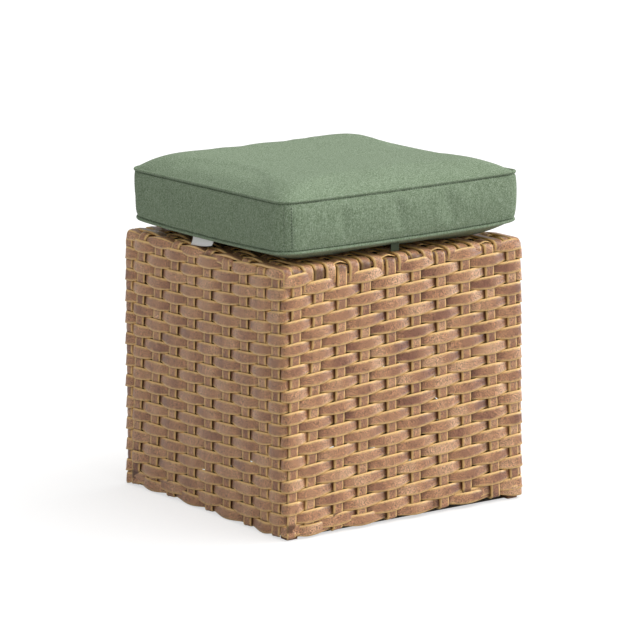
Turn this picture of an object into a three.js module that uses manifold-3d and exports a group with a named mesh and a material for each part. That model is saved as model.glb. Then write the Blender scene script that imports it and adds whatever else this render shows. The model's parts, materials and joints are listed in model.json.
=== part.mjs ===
// Outdoor ottoman footstool: a square woven base over a welded tube frame, with a loose
// boxed cushion whose piped cover closes with a zip along the rear.
// Millimetres, +Z up, front towards -Y, origin on the floor under the middle of the base.
import * as THREE from 'three';
import { mergeVertices } from 'three/addons/utils/BufferGeometryUtils.js';
import Module from 'manifold-3d';

const wasm = await Module();
wasm.setup();

// Overall sizes
const baseSide = 420;
const deckHeight = 388;
const fitGap = 0.3;
const cutOverrun = 1;

// Woven skin
const weaveThickness = 6;
const weaveLift = 2;
const rimBevel = 2.5;
const bevelSteps = 3;
const cornerSteps = 4;

// Weave: upright stakes on each side, and rows that wind round the base and climb as they go,
// bowed down or up along a side by rowSags at the deck and less below it
const stakeWidth = 16;
const rowPitch = 16.15;
const firstRowDrop = 18.6;
const rowsPerTurn = 6;
const windingOrder = ['left', 'front', 'right', 'rear'];
const rowClimbShares = { left: 0.155, front: 0.289, right: 0.278, rear: 0.278 };
const rowSags = { left: 7.5, front: -2.5, right: 0, rear: 0 };
const frontStakeShares = [-1, -0.815, -0.59, -0.375, -0.13, 0.09, 0.33, 0.55, 0.79, 1];
const flankStakeShares = [-1, -0.89, -0.655, -0.43, -0.18, 0.055, 0.305, 0.56, 0.795, 0.97];
const weaveDepthShares = { crest: 0, shoulder: 0.1, stake: 0.3, dip: 0.75, border: 0.3 };
const shortRowShare = 0.25;

// Frame tubes
const tubeSide = 20;
const tubeWall = 1.2;
const tubeInnerRadius = 0.8;
const deckBarSpacing = 130;
const deckBarCount = 2;
const bottomRailLift = 12;

// Foot glides
const glideSide = 18;
const glideHeight = 5;
const glideCornerRadius = 2;
const plugDepth = 12;

// Cushion
const cushionSide = 408;
const cushionCorner = 28;
const boxingHeight = 72;
const topCrown = 20;
const bottomCrown = 23;
const topCrownPower = 8;
const bottomCrownPower = 8;
const sideDraw = 3;
const coverThickness = 1.5;
const pipingRadius = 2.25;
const pipingSides = 8;
const arcSteps = 3;
const sideSteps = 4;
const ringInsetShares = [0.03, 0.08, 0.16, 0.3, 0.55];
const coreCornerShare = 0.4;

// Zip along the rear boxing
const tapeWidth = 8;
const chainWidth = 4;
const chainDepth = 1;
const chainLength = 344;
const sliderLength = 9;
const sliderWall = 1.2;
const sliderPlate = 0.8;
const pivotPostWidth = 1.6;
const pivotPinRadius = 0.5;
const pivotEyeRadius = 1.1;
const pullLength = 20;
const pullThickness = 1;
const pullArmWidth = 1.3;
const pivotSides = 12;

// Tag and straps under the bottom seam
const tagWidth = 56;
const tagThickness = 0.8;
const tagInset = 1;
const tagPlace = -7;
const strapWidth = 14;
const strapThickness = 1.5;
const strapInset = 10;
const strapPlace = -5;

// Heights and reaches that follow from the sizes above
const half = baseSide / 2;
const weaveBottom = weaveLift;
const deckBottom = deckHeight - weaveThickness;
const weaveInside = half - weaveThickness;
const weaveTop = deckBottom - fitGap;
const tubeCorner = tubeInnerRadius + tubeWall;
const weaveBendRadius = tubeCorner + fitGap;
const cornerRadius = weaveBendRadius + weaveThickness;
const weaveReach = half - cornerRadius;
const stakeReach = weaveReach - stakeWidth / 2 - fitGap;
const firstRowHeight = deckHeight - firstRowDrop;
const postCentre = weaveInside - fitGap - tubeSide / 2;
const railLength = 2 * (postCentre - tubeSide / 2 - fitGap);
const topRailHeight = deckBottom - fitGap - tubeSide / 2;
const bottomRailHeight = bottomRailLift + tubeSide / 2;
const cushionHalf = cushionSide / 2;
const bottomSeam = deckHeight + fitGap + bottomCrown;
const topSeam = bottomSeam + boxingHeight;
const pipingClear = pipingRadius + fitGap;
const boxingBottom = bottomSeam + pipingClear;
const boxingTop = topSeam - pipingClear;
const boxingMiddle = (bottomSeam + topSeam) / 2;
const seamTrim = fitGap / (cushionCorner - coverThickness);
const tapeFace = cushionHalf + coverThickness / 2;
const chainFace = tapeFace + fitGap;
const sliderFloor = chainFace + chainDepth + fitGap;
const sliderTop = sliderFloor + sliderPlate;
const pivotReach = sliderTop + fitGap + pivotEyeRadius;
const sliderStart = sliderLength / 2 - chainLength / 2;

const strandMaterial = { color: 0x8a6a4c, roughness: 0.55, metalness: 0 };
const frameMaterial = { color: 0x3a2d24, roughness: 0.5, metalness: 0.4 };
const glideMaterial = { color: 0x2b2622, roughness: 0.7, metalness: 0 };
const foamMaterial = { color: 0xe9e2cf, roughness: 0.95, metalness: 0 };
const fabricMaterial = { color: 0x7d9173, roughness: 0.95, metalness: 0 };
const tagMaterial = { color: 0xf2f2ee, roughness: 0.8, metalness: 0 };
const zipMaterial = { color: 0x4f5e48, roughness: 0.6, metalness: 0 };
const sliderMaterial = { color: 0x8c8c88, roughness: 0.35, metalness: 0.9 };

const sideNames = ['front', 'right', 'rear', 'left'];
const cornerNames = ['front_left', 'front_right', 'rear_right', 'rear_left'];
const ottoman = new THREE.Group();

function addPiece(name, geometry, look) {
  const mesh = new THREE.Mesh(geometry, new THREE.MeshStandardMaterial(look));
  mesh.name = name;
  ottoman.add(mesh);
  return mesh;
}

function quarterTurn(count) {
  return count * Math.PI / 2;
}

// Solid geometry helpers
function toManifold(geometry) {
  const bare = geometry.clone();
  bare.deleteAttribute('normal');
  bare.deleteAttribute('uv');
  const merged = mergeVertices(bare);
  return new wasm.Manifold(new wasm.Mesh({
    numProp: 3,
    vertProperties: new Float32Array(merged.attributes.position.array),
    triVerts: new Uint32Array(merged.index.array),
  }));
}

function fromManifold(solid) {
  const mesh = solid.getMesh();
  const geometry = new THREE.BufferGeometry();
  geometry.setAttribute('position', new THREE.BufferAttribute(mesh.vertProperties, 3));
  geometry.setIndex(new THREE.BufferAttribute(mesh.triVerts, 1));
  geometry.computeVertexNormals();
  return geometry;
}

function join(first, second) {
  return fromManifold(toManifold(first).add(toManifold(second)));
}

function cut(first, second) {
  return fromManifold(toManifold(first).subtract(toManifold(second)));
}

function boxBetween(low, high) {
  const size = high.map((value, i) => value - low[i]);
  const geometry = new THREE.BoxGeometry(size[0], size[1], size[2]);
  const middle = high.map((value, i) => (value + low[i]) / 2);
  return geometry.translate(middle[0], middle[1], middle[2]);
}

function uprightCylinder(radius, height) {
  return new THREE.CylinderGeometry(radius, radius, height, pivotSides).rotateX(Math.PI / 2);
}

function roundedSquare(reach, radius) {
  const shape = new THREE.Shape();
  const centre = reach - radius;
  shape.absarc(centre, centre, radius, 0, quarterTurn(1), false);
  shape.absarc(-centre, centre, radius, quarterTurn(1), quarterTurn(2), false);
  shape.absarc(-centre, -centre, radius, quarterTurn(2), quarterTurn(3), false);
  shape.absarc(centre, -centre, radius, quarterTurn(3), quarterTurn(4), false);
  shape.closePath();
  return shape;
}

function extrude(shape, depth) {
  return new THREE.ExtrudeGeometry(shape, { depth, bevelEnabled: false, curveSegments: cornerSteps });
}

// A closed solid through rings of points, each joined to the next and the last two capped,
// or joined back to the first where the rings run round a loop.
function ringSolid(rings, loops = false) {
  const count = rings[0].length;
  const points = rings.flat();
  const faces = [];
  const spans = loops ? rings.length : rings.length - 1;
  for (let i = 0; i < spans; i += 1) {
    const here = i * count;
    const next = ((i + 1) % rings.length) * count;
    for (let j = 0; j < count; j += 1) {
      const k = (j + 1) % count;
      faces.push([here + j, here + k, next + k], [here + j, next + k, next + j]);
    }
  }
  if (!loops) {
    addCap(points, faces, rings[0], 0, true);
    addCap(points, faces, rings.at(-1), (rings.length - 1) * count, false);
  }
  return facesOutward(points, faces);
}

function addCap(points, faces, ring, start, reversed) {
  const centre = new THREE.Vector3();
  ring.forEach((point) => centre.addScaledVector(point, 1 / ring.length));
  points.push(centre);
  const hub = points.length - 1;
  for (let j = 0; j < ring.length; j += 1) {
    const pair = [start + j, start + (j + 1) % ring.length];
    faces.push(reversed ? [hub, pair[1], pair[0]] : [hub, pair[0], pair[1]]);
  }
}

function facesOutward(points, faces) {
  const volume = faces.reduce((sum, [a, b, c]) => {
    const normal = new THREE.Vector3().crossVectors(points[b], points[c]);
    return sum + points[a].dot(normal);
  }, 0);
  const index = faces.flatMap((face) => (volume > 0 ? face : [face[0], face[2], face[1]]));
  const geometry = new THREE.BufferGeometry();
  geometry.setFromPoints(points);
  geometry.setIndex(index);
  geometry.computeVertexNormals();
  return geometry;
}

// Frame: four posts, top and bottom rails between them, and bars under the deck
function tube(length) {
  const outline = roundedSquare(tubeSide / 2, tubeCorner);
  outline.holes.push(roundedSquare(tubeSide / 2 - tubeWall, tubeInnerRadius));
  return extrude(outline, length).translate(0, 0, -length / 2);
}

function addPosts() {
  const bottom = glideHeight + fitGap;
  const top = topRailHeight + tubeSide / 2;
  cornerNames.forEach((name, i) => {
    const mesh = addPiece(`frame_post_${name}`, tube(top - bottom), frameMaterial);
    const place = new THREE.Vector2(-postCentre, -postCentre);
    place.rotateAround(new THREE.Vector2(), quarterTurn(i));
    mesh.position.set(place.x, place.y, (top + bottom) / 2);
  });
}

function addRails(level, height) {
  sideNames.forEach((name, i) => {
    const geometry = tube(railLength).rotateY(quarterTurn(1)).translate(0, -postCentre, height);
    const mesh = addPiece(`frame_${level}_rail_${name}`, geometry, frameMaterial);
    mesh.rotation.z = quarterTurn(i);
  });
}

function addDeckBars() {
  for (let i = 0; i < deckBarCount; i += 1) {
    const geometry = tube(railLength).rotateY(quarterTurn(1));
    const mesh = addPiece(`frame_deck_bar_${i + 1}`, geometry, frameMaterial);
    mesh.position.set(0, (i - (deckBarCount - 1) / 2) * deckBarSpacing, topRailHeight);
  }
}

// Foot glides: a flange on the floor and a plug up inside each post
function addGlides() {
  const flange = extrude(roundedSquare(glideSide / 2, glideCornerRadius), glideHeight);
  const plugReach = tubeSide / 2 - tubeWall - fitGap;
  const plug = extrude(roundedSquare(plugReach, glideCornerRadius), plugDepth + glideHeight / 2);
  plug.translate(0, 0, glideHeight / 2);
  cornerNames.forEach((name, i) => {
    const mesh = addPiece(`foot_glide_${name}`, join(flange, plug), glideMaterial);
    const place = new THREE.Vector2(-postCentre, -postCentre);
    place.rotateAround(new THREE.Vector2(), quarterTurn(i));
    mesh.position.set(place.x, place.y, 0);
  });
}

// Woven sides: four slabs that turn the corners and meet on the diagonals, each with the rows'
// rise and dip over and under its stakes
function stakeShares(side) {
  if (side === 'left') return flankStakeShares;
  if (side === 'right') return flankStakeShares.map((share) => -share).reverse();
  return frontStakeShares;
}

function rowHeight(row, side, across) {
  const turnClimb = rowsPerTurn * rowPitch;
  const before = windingOrder.slice(0, windingOrder.indexOf(side));
  const start = before.reduce((sum, name) => sum + rowClimbShares[name], 0);
  const share = (across + half) / (2 * half);
  const straight = firstRowHeight - row * rowPitch + turnClimb * (start + rowClimbShares[side] * share);
  return straight - rowSags[side] * 4 * share * (1 - share) * straight / deckHeight;
}

// Columns of a side from left to right: half of each corner's bend, and three columns a stake
function weaveColumns(side) {
  const bend = (angle, end, trim) => ({ bent: true, centreX: end * weaveReach, end, angle, trim });
  const diagonalTrim = fitGap / 2;
  const left = [
    bend(1.25 * Math.PI, -1, diagonalTrim),
    bend(1.375 * Math.PI, -1, 0),
    bend(1.5 * Math.PI, -1, 0),
  ];
  const right = [
    bend(1.5 * Math.PI, 1, 0),
    bend(1.625 * Math.PI, 1, 0),
    bend(1.75 * Math.PI, 1, diagonalTrim),
  ];
  const first = windingOrder.indexOf(side) * frontStakeShares.length;
  const stakes = stakeShares(side).flatMap((share, i) => [-1, 0, 1].map((edge) => ({
    bent: false,
    centreX: share * stakeReach + edge * stakeWidth / 2,
    stake: first + i,
    atEdge: edge !== 0,
  })));
  return [...left, ...stakes, ...right];
}

function weaveDepth(column, row) {
  if (column.bent) return weaveDepthShares.border * weaveThickness;
  const over = (row + column.stake) % 2 !== 0;
  const high = column.atEdge ? weaveDepthShares.shoulder : weaveDepthShares.crest;
  const low = column.atEdge ? weaveDepthShares.dip : weaveDepthShares.stake;
  return (over ? high : low) * weaveThickness;
}

function weavePoint(column, depth, height) {
  if (!column.bent) return new THREE.Vector3(column.centreX, depth - half, height);
  const radius = cornerRadius - depth;
  const angle = column.angle - column.end * Math.asin(column.trim / radius);
  const x = column.centreX + radius * Math.cos(angle);
  return new THREE.Vector3(x, radius * Math.sin(angle) - weaveReach, height);
}

// Outer points of a column from its top edge to its bottom edge; a row that runs out over an
// edge shares the edge's point
function columnIndexes(column, side, points) {
  const border = weaveDepthShares.border * weaveThickness;
  const margin = shortRowShare * rowPitch;
  const firstRow = Math.floor((firstRowHeight - weaveTop) / rowPitch) - 1;
  const lastRow = Math.ceil((firstRowHeight - weaveBottom) / rowPitch) + rowsPerTurn + 1;
  const add = (point) => points.push(point) - 1;
  const top = add(weavePoint(column, border, weaveTop));
  const bottom = add(weavePoint(column, border, weaveBottom));
  const indexes = [];
  for (let row = firstRow; row <= lastRow; row += 1) {
    const height = rowHeight(row, side, column.centreX);
    if (height > weaveTop - margin) indexes.push(top);
    else if (height < weaveBottom + margin) indexes.push(bottom);
    else indexes.push(add(weavePoint(column, weaveDepth(column, row), height)));
  }
  return { top, bottom, indexes };
}

function wovenSide(side) {
  const points = [];
  const faces = [];
  const addFace = (a, b, c) => {
    if (a !== b && b !== c && c !== a) faces.push([a, b, c]);
  };
  const columns = weaveColumns(side);
  const outer = columns.map((column) => columnIndexes(column, side, points));
  const inner = columns.map((column) => ({
    top: points.push(weavePoint(column, weaveThickness, weaveTop)) - 1,
    bottom: points.push(weavePoint(column, weaveThickness, weaveBottom)) - 1,
  }));
  for (let i = 0; i + 1 < columns.length; i += 1) {
    const [here, next] = [outer[i].indexes, outer[i + 1].indexes];
    for (let j = 0; j + 1 < here.length; j += 1) {
      addFace(here[j], here[j + 1], next[j + 1]);
      addFace(here[j], next[j + 1], next[j]);
    }
    addFace(inner[i].top, inner[i + 1].top, inner[i + 1].bottom);
    addFace(inner[i].top, inner[i + 1].bottom, inner[i].bottom);
    addFace(outer[i].top, outer[i + 1].top, inner[i + 1].top);
    addFace(outer[i].top, inner[i + 1].top, inner[i].top);
    addFace(outer[i].bottom, inner[i].bottom, inner[i + 1].bottom);
    addFace(outer[i].bottom, inner[i + 1].bottom, outer[i + 1].bottom);
  }
  addEndWall(addFace, outer[0], inner[0], false);
  addEndWall(addFace, outer.at(-1), inner.at(-1), true);
  return facesOutward(points, faces);
}

function addEndWall(addFace, outer, inner, reversed) {
  const add = reversed ? (a, b, c) => addFace(c, b, a) : addFace;
  for (let j = 0; j + 1 < outer.indexes.length; j += 1) {
    add(outer.indexes[j + 1], outer.indexes[j], inner.bottom);
  }
  add(outer.top, inner.top, inner.bottom);
}

function addWovenSkin() {
  sideNames.forEach((name, i) => {
    const mesh = addPiece(`wicker_${name}`, wovenSide(name), strandMaterial);
    mesh.rotation.z = quarterTurn(i);
  });
  const deck = new THREE.ExtrudeGeometry(roundedSquare(half, cornerRadius), {
    depth: weaveThickness - 2 * rimBevel,
    bevelThickness: rimBevel,
    bevelSize: rimBevel,
    bevelOffset: -rimBevel,
    bevelSegments: bevelSteps,
    curveSegments: cornerSteps,
  });
  addPiece('wicker_deck', deck.translate(0, 0, deckBottom + rimBevel), strandMaterial);
}

// Cushion outline in plan: one side from corner middle to corner middle, its straight drawn in
function sideStations(inset, draw, trim) {
  const reachOut = cushionHalf - inset;
  const radius = Math.max(cushionCorner - inset, cushionCorner * coreCornerShare);
  const reach = reachOut - radius;
  const points = [];
  const addArc = (centreX, from, to, first, last) => {
    for (let i = first; i <= last; i += 1) {
      const angle = from + (to - from) * i / arcSteps;
      points.push(new THREE.Vector2(centreX + radius * Math.cos(angle), radius * Math.sin(angle) - reach));
    }
  };
  addArc(-reach, 1.25 * Math.PI + trim, 1.5 * Math.PI, 0, arcSteps - 1);
  for (let i = 0; i <= sideSteps; i += 1) {
    const share = 2 * i / sideSteps - 1;
    points.push(new THREE.Vector2(reach * share, draw * (1 - share * share) - reachOut));
  }
  addArc(reach, 1.5 * Math.PI, 1.75 * Math.PI - trim, 1, arcSteps);
  return points;
}

function outlineRing(inset, draw, height) {
  const ring = [];
  sideNames.forEach((name, i) => {
    sideStations(inset, draw, 0).slice(0, -1).forEach((point) => {
      point.rotateAround(new THREE.Vector2(), quarterTurn(i));
      ring.push(new THREE.Vector3(point.x, point.y, height));
    });
  });
  return ring;
}

function crownRise(crown, power, inset) {
  return crown * (1 - (1 - inset / cushionHalf) ** power);
}

// Rings of a crowned face from its edge to near its middle, moved inward by a depth
function crownRings(face, depth) {
  const insets = [pipingClear, ...ringInsetShares.map((share) => share * cushionHalf)];
  return insets.map((inset) => {
    const height = face.seam + face.up * (crownRise(face.crown, face.power, inset) - depth);
    return outlineRing(inset, sideDraw * (1 - inset / cushionHalf), height);
  });
}

const topFace = { seam: topSeam, up: 1, crown: topCrown, power: topCrownPower };
const bottomFace = { seam: bottomSeam, up: -1, crown: bottomCrown, power: bottomCrownPower };

function coverPanel(face) {
  const outer = crownRings(face, 0);
  const inner = crownRings(face, coverThickness);
  return ringSolid([...outer.reverse(), ...inner]);
}

function foamCore() {
  const depth = coverThickness + fitGap;
  const bottom = crownRings(bottomFace, depth).reverse();
  const middle = outlineRing(pipingClear, 0, boxingMiddle);
  return ringSolid([...bottom, middle, ...crownRings(topFace, depth)]);
}

// Piping: a round cord sewn along a seam, as one closed loop
function piping(height) {
  const sections = [];
  const centres = outlineRing(0, sideDraw, height);
  const outers = outlineRing(-pipingRadius, sideDraw, height);
  centres.forEach((centre, i) => {
    const outward = outers[i].clone().sub(centre).normalize();
    const section = [];
    for (let j = 0; j < pipingSides; j += 1) {
      const angle = 2 * Math.PI * (j + 0.5) / pipingSides;
      const point = centre.clone().addScaledVector(outward, pipingRadius * Math.cos(angle));
      point.z += pipingRadius * Math.sin(angle);
      section.push(point);
    }
    sections.push(section);
  });
  return ringSolid(sections, true);
}

// A strip of cover along one side, its section given as levels of inset, draw and height
function coverStrip(levels) {
  const paths = levels.map((level) => sideStations(level.inset, level.draw, seamTrim));
  const sections = paths[0].map((start, i) => levels.map((level, j) => (
    new THREE.Vector3(paths[j][i].x, paths[j][i].y, level.height))));
  return ringSolid(sections);
}

function stripLevels(heights, draws) {
  const outer = heights.map((height, i) => ({ inset: -coverThickness / 2, draw: draws[i], height }));
  const inner = heights.map((height, i) => ({ inset: coverThickness / 2, draw: draws[i], height }));
  return [...outer, ...inner.reverse()];
}

function addBoxing() {
  const wholeHeights = [boxingBottom, boxingMiddle, boxingTop];
  const tapeHeights = [boxingMiddle - tapeWidth / 2, boxingMiddle + tapeWidth / 2];
  const plain = coverStrip(stripLevels(wholeHeights, [sideDraw, 0, sideDraw]));
  const lower = coverStrip(stripLevels([boxingBottom, tapeHeights[0] - fitGap], [sideDraw, 0]));
  const upper = coverStrip(stripLevels([tapeHeights[1] + fitGap, boxingTop], [0, sideDraw]));
  const tape = coverStrip(stripLevels(tapeHeights, [0, 0]));
  const rear = sideNames.indexOf('rear');
  sideNames.forEach((name, i) => {
    if (i === rear) return;
    addPiece(`cushion_boxing_${name}`, plain, fabricMaterial).rotation.z = quarterTurn(i);
  });
  addPiece('cushion_boxing_rear_lower', lower, fabricMaterial).rotation.z = quarterTurn(rear);
  addPiece('cushion_boxing_rear_upper', upper, fabricMaterial).rotation.z = quarterTurn(rear);
  addPiece('zip_tape', tape, zipMaterial).rotation.z = quarterTurn(rear);
}

// Zip: a straight chain, a slider that straddles it and a pull on the slider's post
function zipSlider() {
  const channelHalf = chainWidth / 2 + fitGap;
  const bodyLow = [-sliderLength / 2, chainFace, -channelHalf - sliderWall];
  const bodyHigh = [sliderLength / 2, sliderTop, channelHalf + sliderWall];
  const body = boxBetween(bodyLow, bodyHigh);
  const reach = sliderLength / 2 + cutOverrun;
  const channelLow = [-reach, chainFace - cutOverrun, -channelHalf];
  const channel = boxBetween(channelLow, [reach, sliderFloor, channelHalf]);
  const postLow = [-pivotEyeRadius, sliderTop - sliderPlate / 2, -pivotPostWidth / 2];
  const postHigh = [pivotEyeRadius, pivotReach + pivotEyeRadius, pivotPostWidth / 2];
  const hole = uprightCylinder(pivotPinRadius + fitGap, pivotPostWidth + 2 * cutOverrun);
  const post = cut(boxBetween(postLow, postHigh), hole.translate(0, pivotReach, 0));
  return join(cut(body, channel), post);
}

function zipPull() {
  const inner = pivotPostWidth / 2 + fitGap;
  const outer = inner + pullArmWidth;
  const plateStart = pivotEyeRadius * Math.SQRT2 + fitGap;
  const faces = [pivotReach - pullThickness / 2, pivotReach + pullThickness / 2];
  let pull = boxBetween([plateStart, faces[0], -outer], [pullLength, faces[1], outer]);
  [-1, 1].forEach((end) => {
    const span = [end * inner, end * outer].sort((a, b) => a - b);
    const armEnd = plateStart + pullArmWidth / 2;
    const arm = boxBetween([0, faces[0], span[0]], [armEnd, faces[1], span[1]]);
    const eye = uprightCylinder(pivotEyeRadius, pullArmWidth);
    eye.translate(0, pivotReach, end * (inner + outer) / 2);
    pull = join(pull, join(arm, eye));
  });
  const pin = uprightCylinder(pivotPinRadius, inner + outer).translate(0, pivotReach, 0);
  return join(pull, pin);
}

function addZip() {
  const chainLow = [-chainLength / 2, chainFace, boxingMiddle - chainWidth / 2];
  const chainHigh = [chainLength / 2, chainFace + chainDepth, boxingMiddle + chainWidth / 2];
  addPiece('zip_chain', boxBetween(chainLow, chainHigh), zipMaterial);
  addPiece('zip_slider', zipSlider(), sliderMaterial).position.set(sliderStart, 0, boxingMiddle);
  addPiece('zip_pull', zipPull(), sliderMaterial).position.set(sliderStart, 0, boxingMiddle);
}

// Tag and straps hang from the underside of the cushion down to the deck
function hangingTab(width, thickness, inset, place, top) {
  const face = inset - cushionHalf + sideDraw;
  const bottom = deckHeight + fitGap;
  return boxBetween([place - width / 2, face, bottom], [place + width / 2, face + thickness, top]);
}

function addTabs() {
  const strapReach = strapInset + strapThickness + sideDraw;
  const strapTop = bottomSeam - crownRise(bottomCrown, bottomCrownPower, strapReach) - fitGap;
  const strap = hangingTab(strapWidth, strapThickness, strapInset, strapPlace, strapTop);
  const strapSides = ['front', 'left'];
  strapSides.forEach((name) => {
    const mesh = addPiece(`cushion_strap_${name}`, strap, fabricMaterial);
    mesh.rotation.z = quarterTurn(sideNames.indexOf(name));
  });
  const tag = hangingTab(tagWidth, tagThickness, tagInset, tagPlace, bottomSeam - pipingClear);
  addPiece('care_tag', tag, tagMaterial).rotation.z = quarterTurn(sideNames.indexOf('left'));
}

function addCushion() {
  addPiece('cushion_foam', foamCore(), foamMaterial);
  addPiece('cushion_top_panel', coverPanel(topFace), fabricMaterial);
  addPiece('cushion_bottom_panel', coverPanel(bottomFace), fabricMaterial);
  addPiece('cushion_top_piping', piping(topSeam), fabricMaterial);
  addPiece('cushion_bottom_piping', piping(bottomSeam), fabricMaterial);
  addBoxing();
  addZip();
  addTabs();
}

addPosts();
addRails('top', topRailHeight);
addRails('bottom', bottomRailHeight);
addDeckBars();
addGlides();
addWovenSkin();
addCushion();

export default ottoman;
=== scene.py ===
import json
import math

import bpy
import numpy as np
from mathutils import Matrix, Vector

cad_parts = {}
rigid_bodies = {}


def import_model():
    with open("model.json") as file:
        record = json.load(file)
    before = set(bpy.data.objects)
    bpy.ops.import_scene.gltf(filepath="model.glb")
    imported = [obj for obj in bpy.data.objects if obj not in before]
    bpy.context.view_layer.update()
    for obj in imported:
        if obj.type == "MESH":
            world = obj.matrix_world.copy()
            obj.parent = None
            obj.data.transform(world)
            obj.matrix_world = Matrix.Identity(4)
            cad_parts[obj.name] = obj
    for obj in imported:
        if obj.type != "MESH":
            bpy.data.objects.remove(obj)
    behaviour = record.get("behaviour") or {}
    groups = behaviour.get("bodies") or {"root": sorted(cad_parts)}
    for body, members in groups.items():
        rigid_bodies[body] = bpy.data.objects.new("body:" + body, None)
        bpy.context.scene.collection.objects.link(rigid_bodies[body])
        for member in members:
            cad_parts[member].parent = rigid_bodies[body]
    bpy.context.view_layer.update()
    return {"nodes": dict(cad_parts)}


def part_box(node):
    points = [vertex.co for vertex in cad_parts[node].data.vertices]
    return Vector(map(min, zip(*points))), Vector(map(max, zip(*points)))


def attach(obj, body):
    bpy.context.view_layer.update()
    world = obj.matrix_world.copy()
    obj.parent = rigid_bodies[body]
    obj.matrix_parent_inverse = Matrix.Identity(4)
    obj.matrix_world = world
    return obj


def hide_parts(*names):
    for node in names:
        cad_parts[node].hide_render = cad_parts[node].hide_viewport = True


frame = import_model()
MM = 0.001

# Sizes that the frame gives
DECK_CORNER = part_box("wicker_deck")[1]
HALF = DECK_CORNER.x
DECK_TOP = DECK_CORNER.z
WEAVE_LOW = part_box("wicker_front")[0].z

# Camera, fitted to the photograph's base corners and piping
CAMERA_AZIMUTH = math.radians(-33.9953)
CAMERA_ELEVATION = math.radians(11.515)
CAMERA_ROLL = math.radians(-0.7278)
CAMERA_DISTANCE = 4.9446
CAMERA_AIM = Vector((-5.99 * MM, 0, 258.55 * MM))
CAMERA_LENS = 189.5
SENSOR_WIDTH = 36

# Cushion: seams, outline and crowns as the frame gives them
PIPING_RADIUS = 2.25 * MM
LOWER_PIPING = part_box("cushion_bottom_piping")
UPPER_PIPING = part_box("cushion_top_piping")
SEAM_LOW = (LOWER_PIPING[0].z + LOWER_PIPING[1].z) / 2
SEAM_HIGH = (UPPER_PIPING[0].z + UPPER_PIPING[1].z) / 2
CUSHION_HALF = UPPER_PIPING[1].x - PIPING_RADIUS
CUSHION_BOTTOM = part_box("cushion_bottom_panel")[0].z
CUSHION_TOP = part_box("cushion_top_panel")[1].z

# Panels: flat in the middle and steep at the seams, the top one lower to the right and higher to the rear
TOP_POWER = 12
TOP_CORNER_POWER = 11
BOTTOM_POWER = 11
BOTTOM_CORNER_POWER = 9
TOP_LEAN = (-3 * MM, 2 * MM)
RING_POWER = 1.12
CUSHION_STEPS = 68

# Outline: corners from front left round to rear left, and sides front, right, rear and left
UPPER_CORNERS = (17 * MM, 12 * MM, 26 * MM, 23 * MM)
LOWER_CORNERS = (24 * MM, 16 * MM, 34 * MM, 29 * MM)
LEAST_CORNER = 3 * MM
FIRST_CORNER_ANGLE = 1.25 * math.pi
LAST_CORNER_ANGLE = 1.5 * math.pi
SEAM_DRAW = 3 * MM
SIDE_SWELLS = (3.5 * MM, 3.5 * MM, 0.75 * MM, 3 * MM)
SWELL_POWER = 0.5
CORNER_SHARE = 0.88
BOXING_STEPS = 12
TAPE_HALF = 4 * MM
TAPE_LEVELS = (5, 6, 7)

# How the filled cushion lies: droops by side, lifts and rises by corner as front and rear pairs
LOWER_DROOPS = (3.5 * MM, 2 * MM, 0, 5.5 * MM)
UPPER_DROOPS = (2.5 * MM, 1 * MM, 1 * MM, 1 * MM)
DROOP_POWER = 8
CORNER_LIFTS = ((-3.5 * MM, 0.5 * MM), (-4.5 * MM, 0))
CORNER_RISES = ((0, 4.5 * MM), (3 * MM, 2 * MM))
CORNER_RISE_POWER = 12

# Cloth simulation of the cover
SIM_FRAMES = 20
SIM_QUALITY = 6
SIM_PRESSURE = 2.2
SIM_STIFFNESS = 40
SIM_BENDING = 8
SIM_SHRINK = -0.004
SIM_CAP = 2 * MM
LEAST_MOVE = 1e-9

# Sewing: creases, gathers and piping
COVER_THICKNESS = 1.5 * MM
FOAM_INSET = 1.9 * MM
CREASE_DEPTH = 0.6 * MM
CREASE_PLACE = 3 * MM
CREASE_HALF = 1.6 * MM
CORNER_SEAM_STEP = 2
GATHER_DEPTH = 0.55 * MM
GATHER_START = 1 * MM
GATHER_REACH = 9 * MM
GATHER_RUN = 8 * MM
GATHER_DRIFT = 31 * MM
PIPING_SIDES = 12
PIPING_OUT = 0.1 * MM
JOIN_PINCH_SHARE = 0.35
JOIN_HALF = 2.5 * MM

# Woven skin: its bends and the strand's section
CORNER_BEND = 9 * MM
LOWER_BEND = 5 * MM
LOW_EDGE_SHARES = (-1, -0.88, -0.8, 0, 0.5, 0.75, 1)
LOW_EDGE_LIFTS = {
    "left": (1, 2, 2, 1, 1, 1, 1),
    "front": (1, 2, 2.5, 4, 6, 6.5, 3.5),
    "right": (3.5, 3.5, 3, 1.5, 1.5, 1.5, 1),
    "rear": (1, 2, 2, 1.5, 1.5, 1.5, 1),
}
CORE = HALF - CORNER_BEND
FACE_TOP = DECK_TOP - CORNER_BEND
RIM_END = FACE_TOP + CORNER_BEND * math.pi / 2
SIDE_SPAN = 2 * CORE + CORNER_BEND * math.pi / 2
PERIMETER = 4 * SIDE_SPAN
LOOP_SPAN = 2 * (RIM_END + CORE)
STRAND_THICKNESS = 1.2 * MM
STRAND_CROWN = 1.4 * MM
CROWN_POWER = 3
UPPER_SECTION_SHARES = (-1, -0.9, -0.6, 0, 0.6, 0.9, 1)
UNDER_SECTION_SHARES = (0.6, -0.6)
TONE_SPREAD = 0.07
SEED = 7

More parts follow.
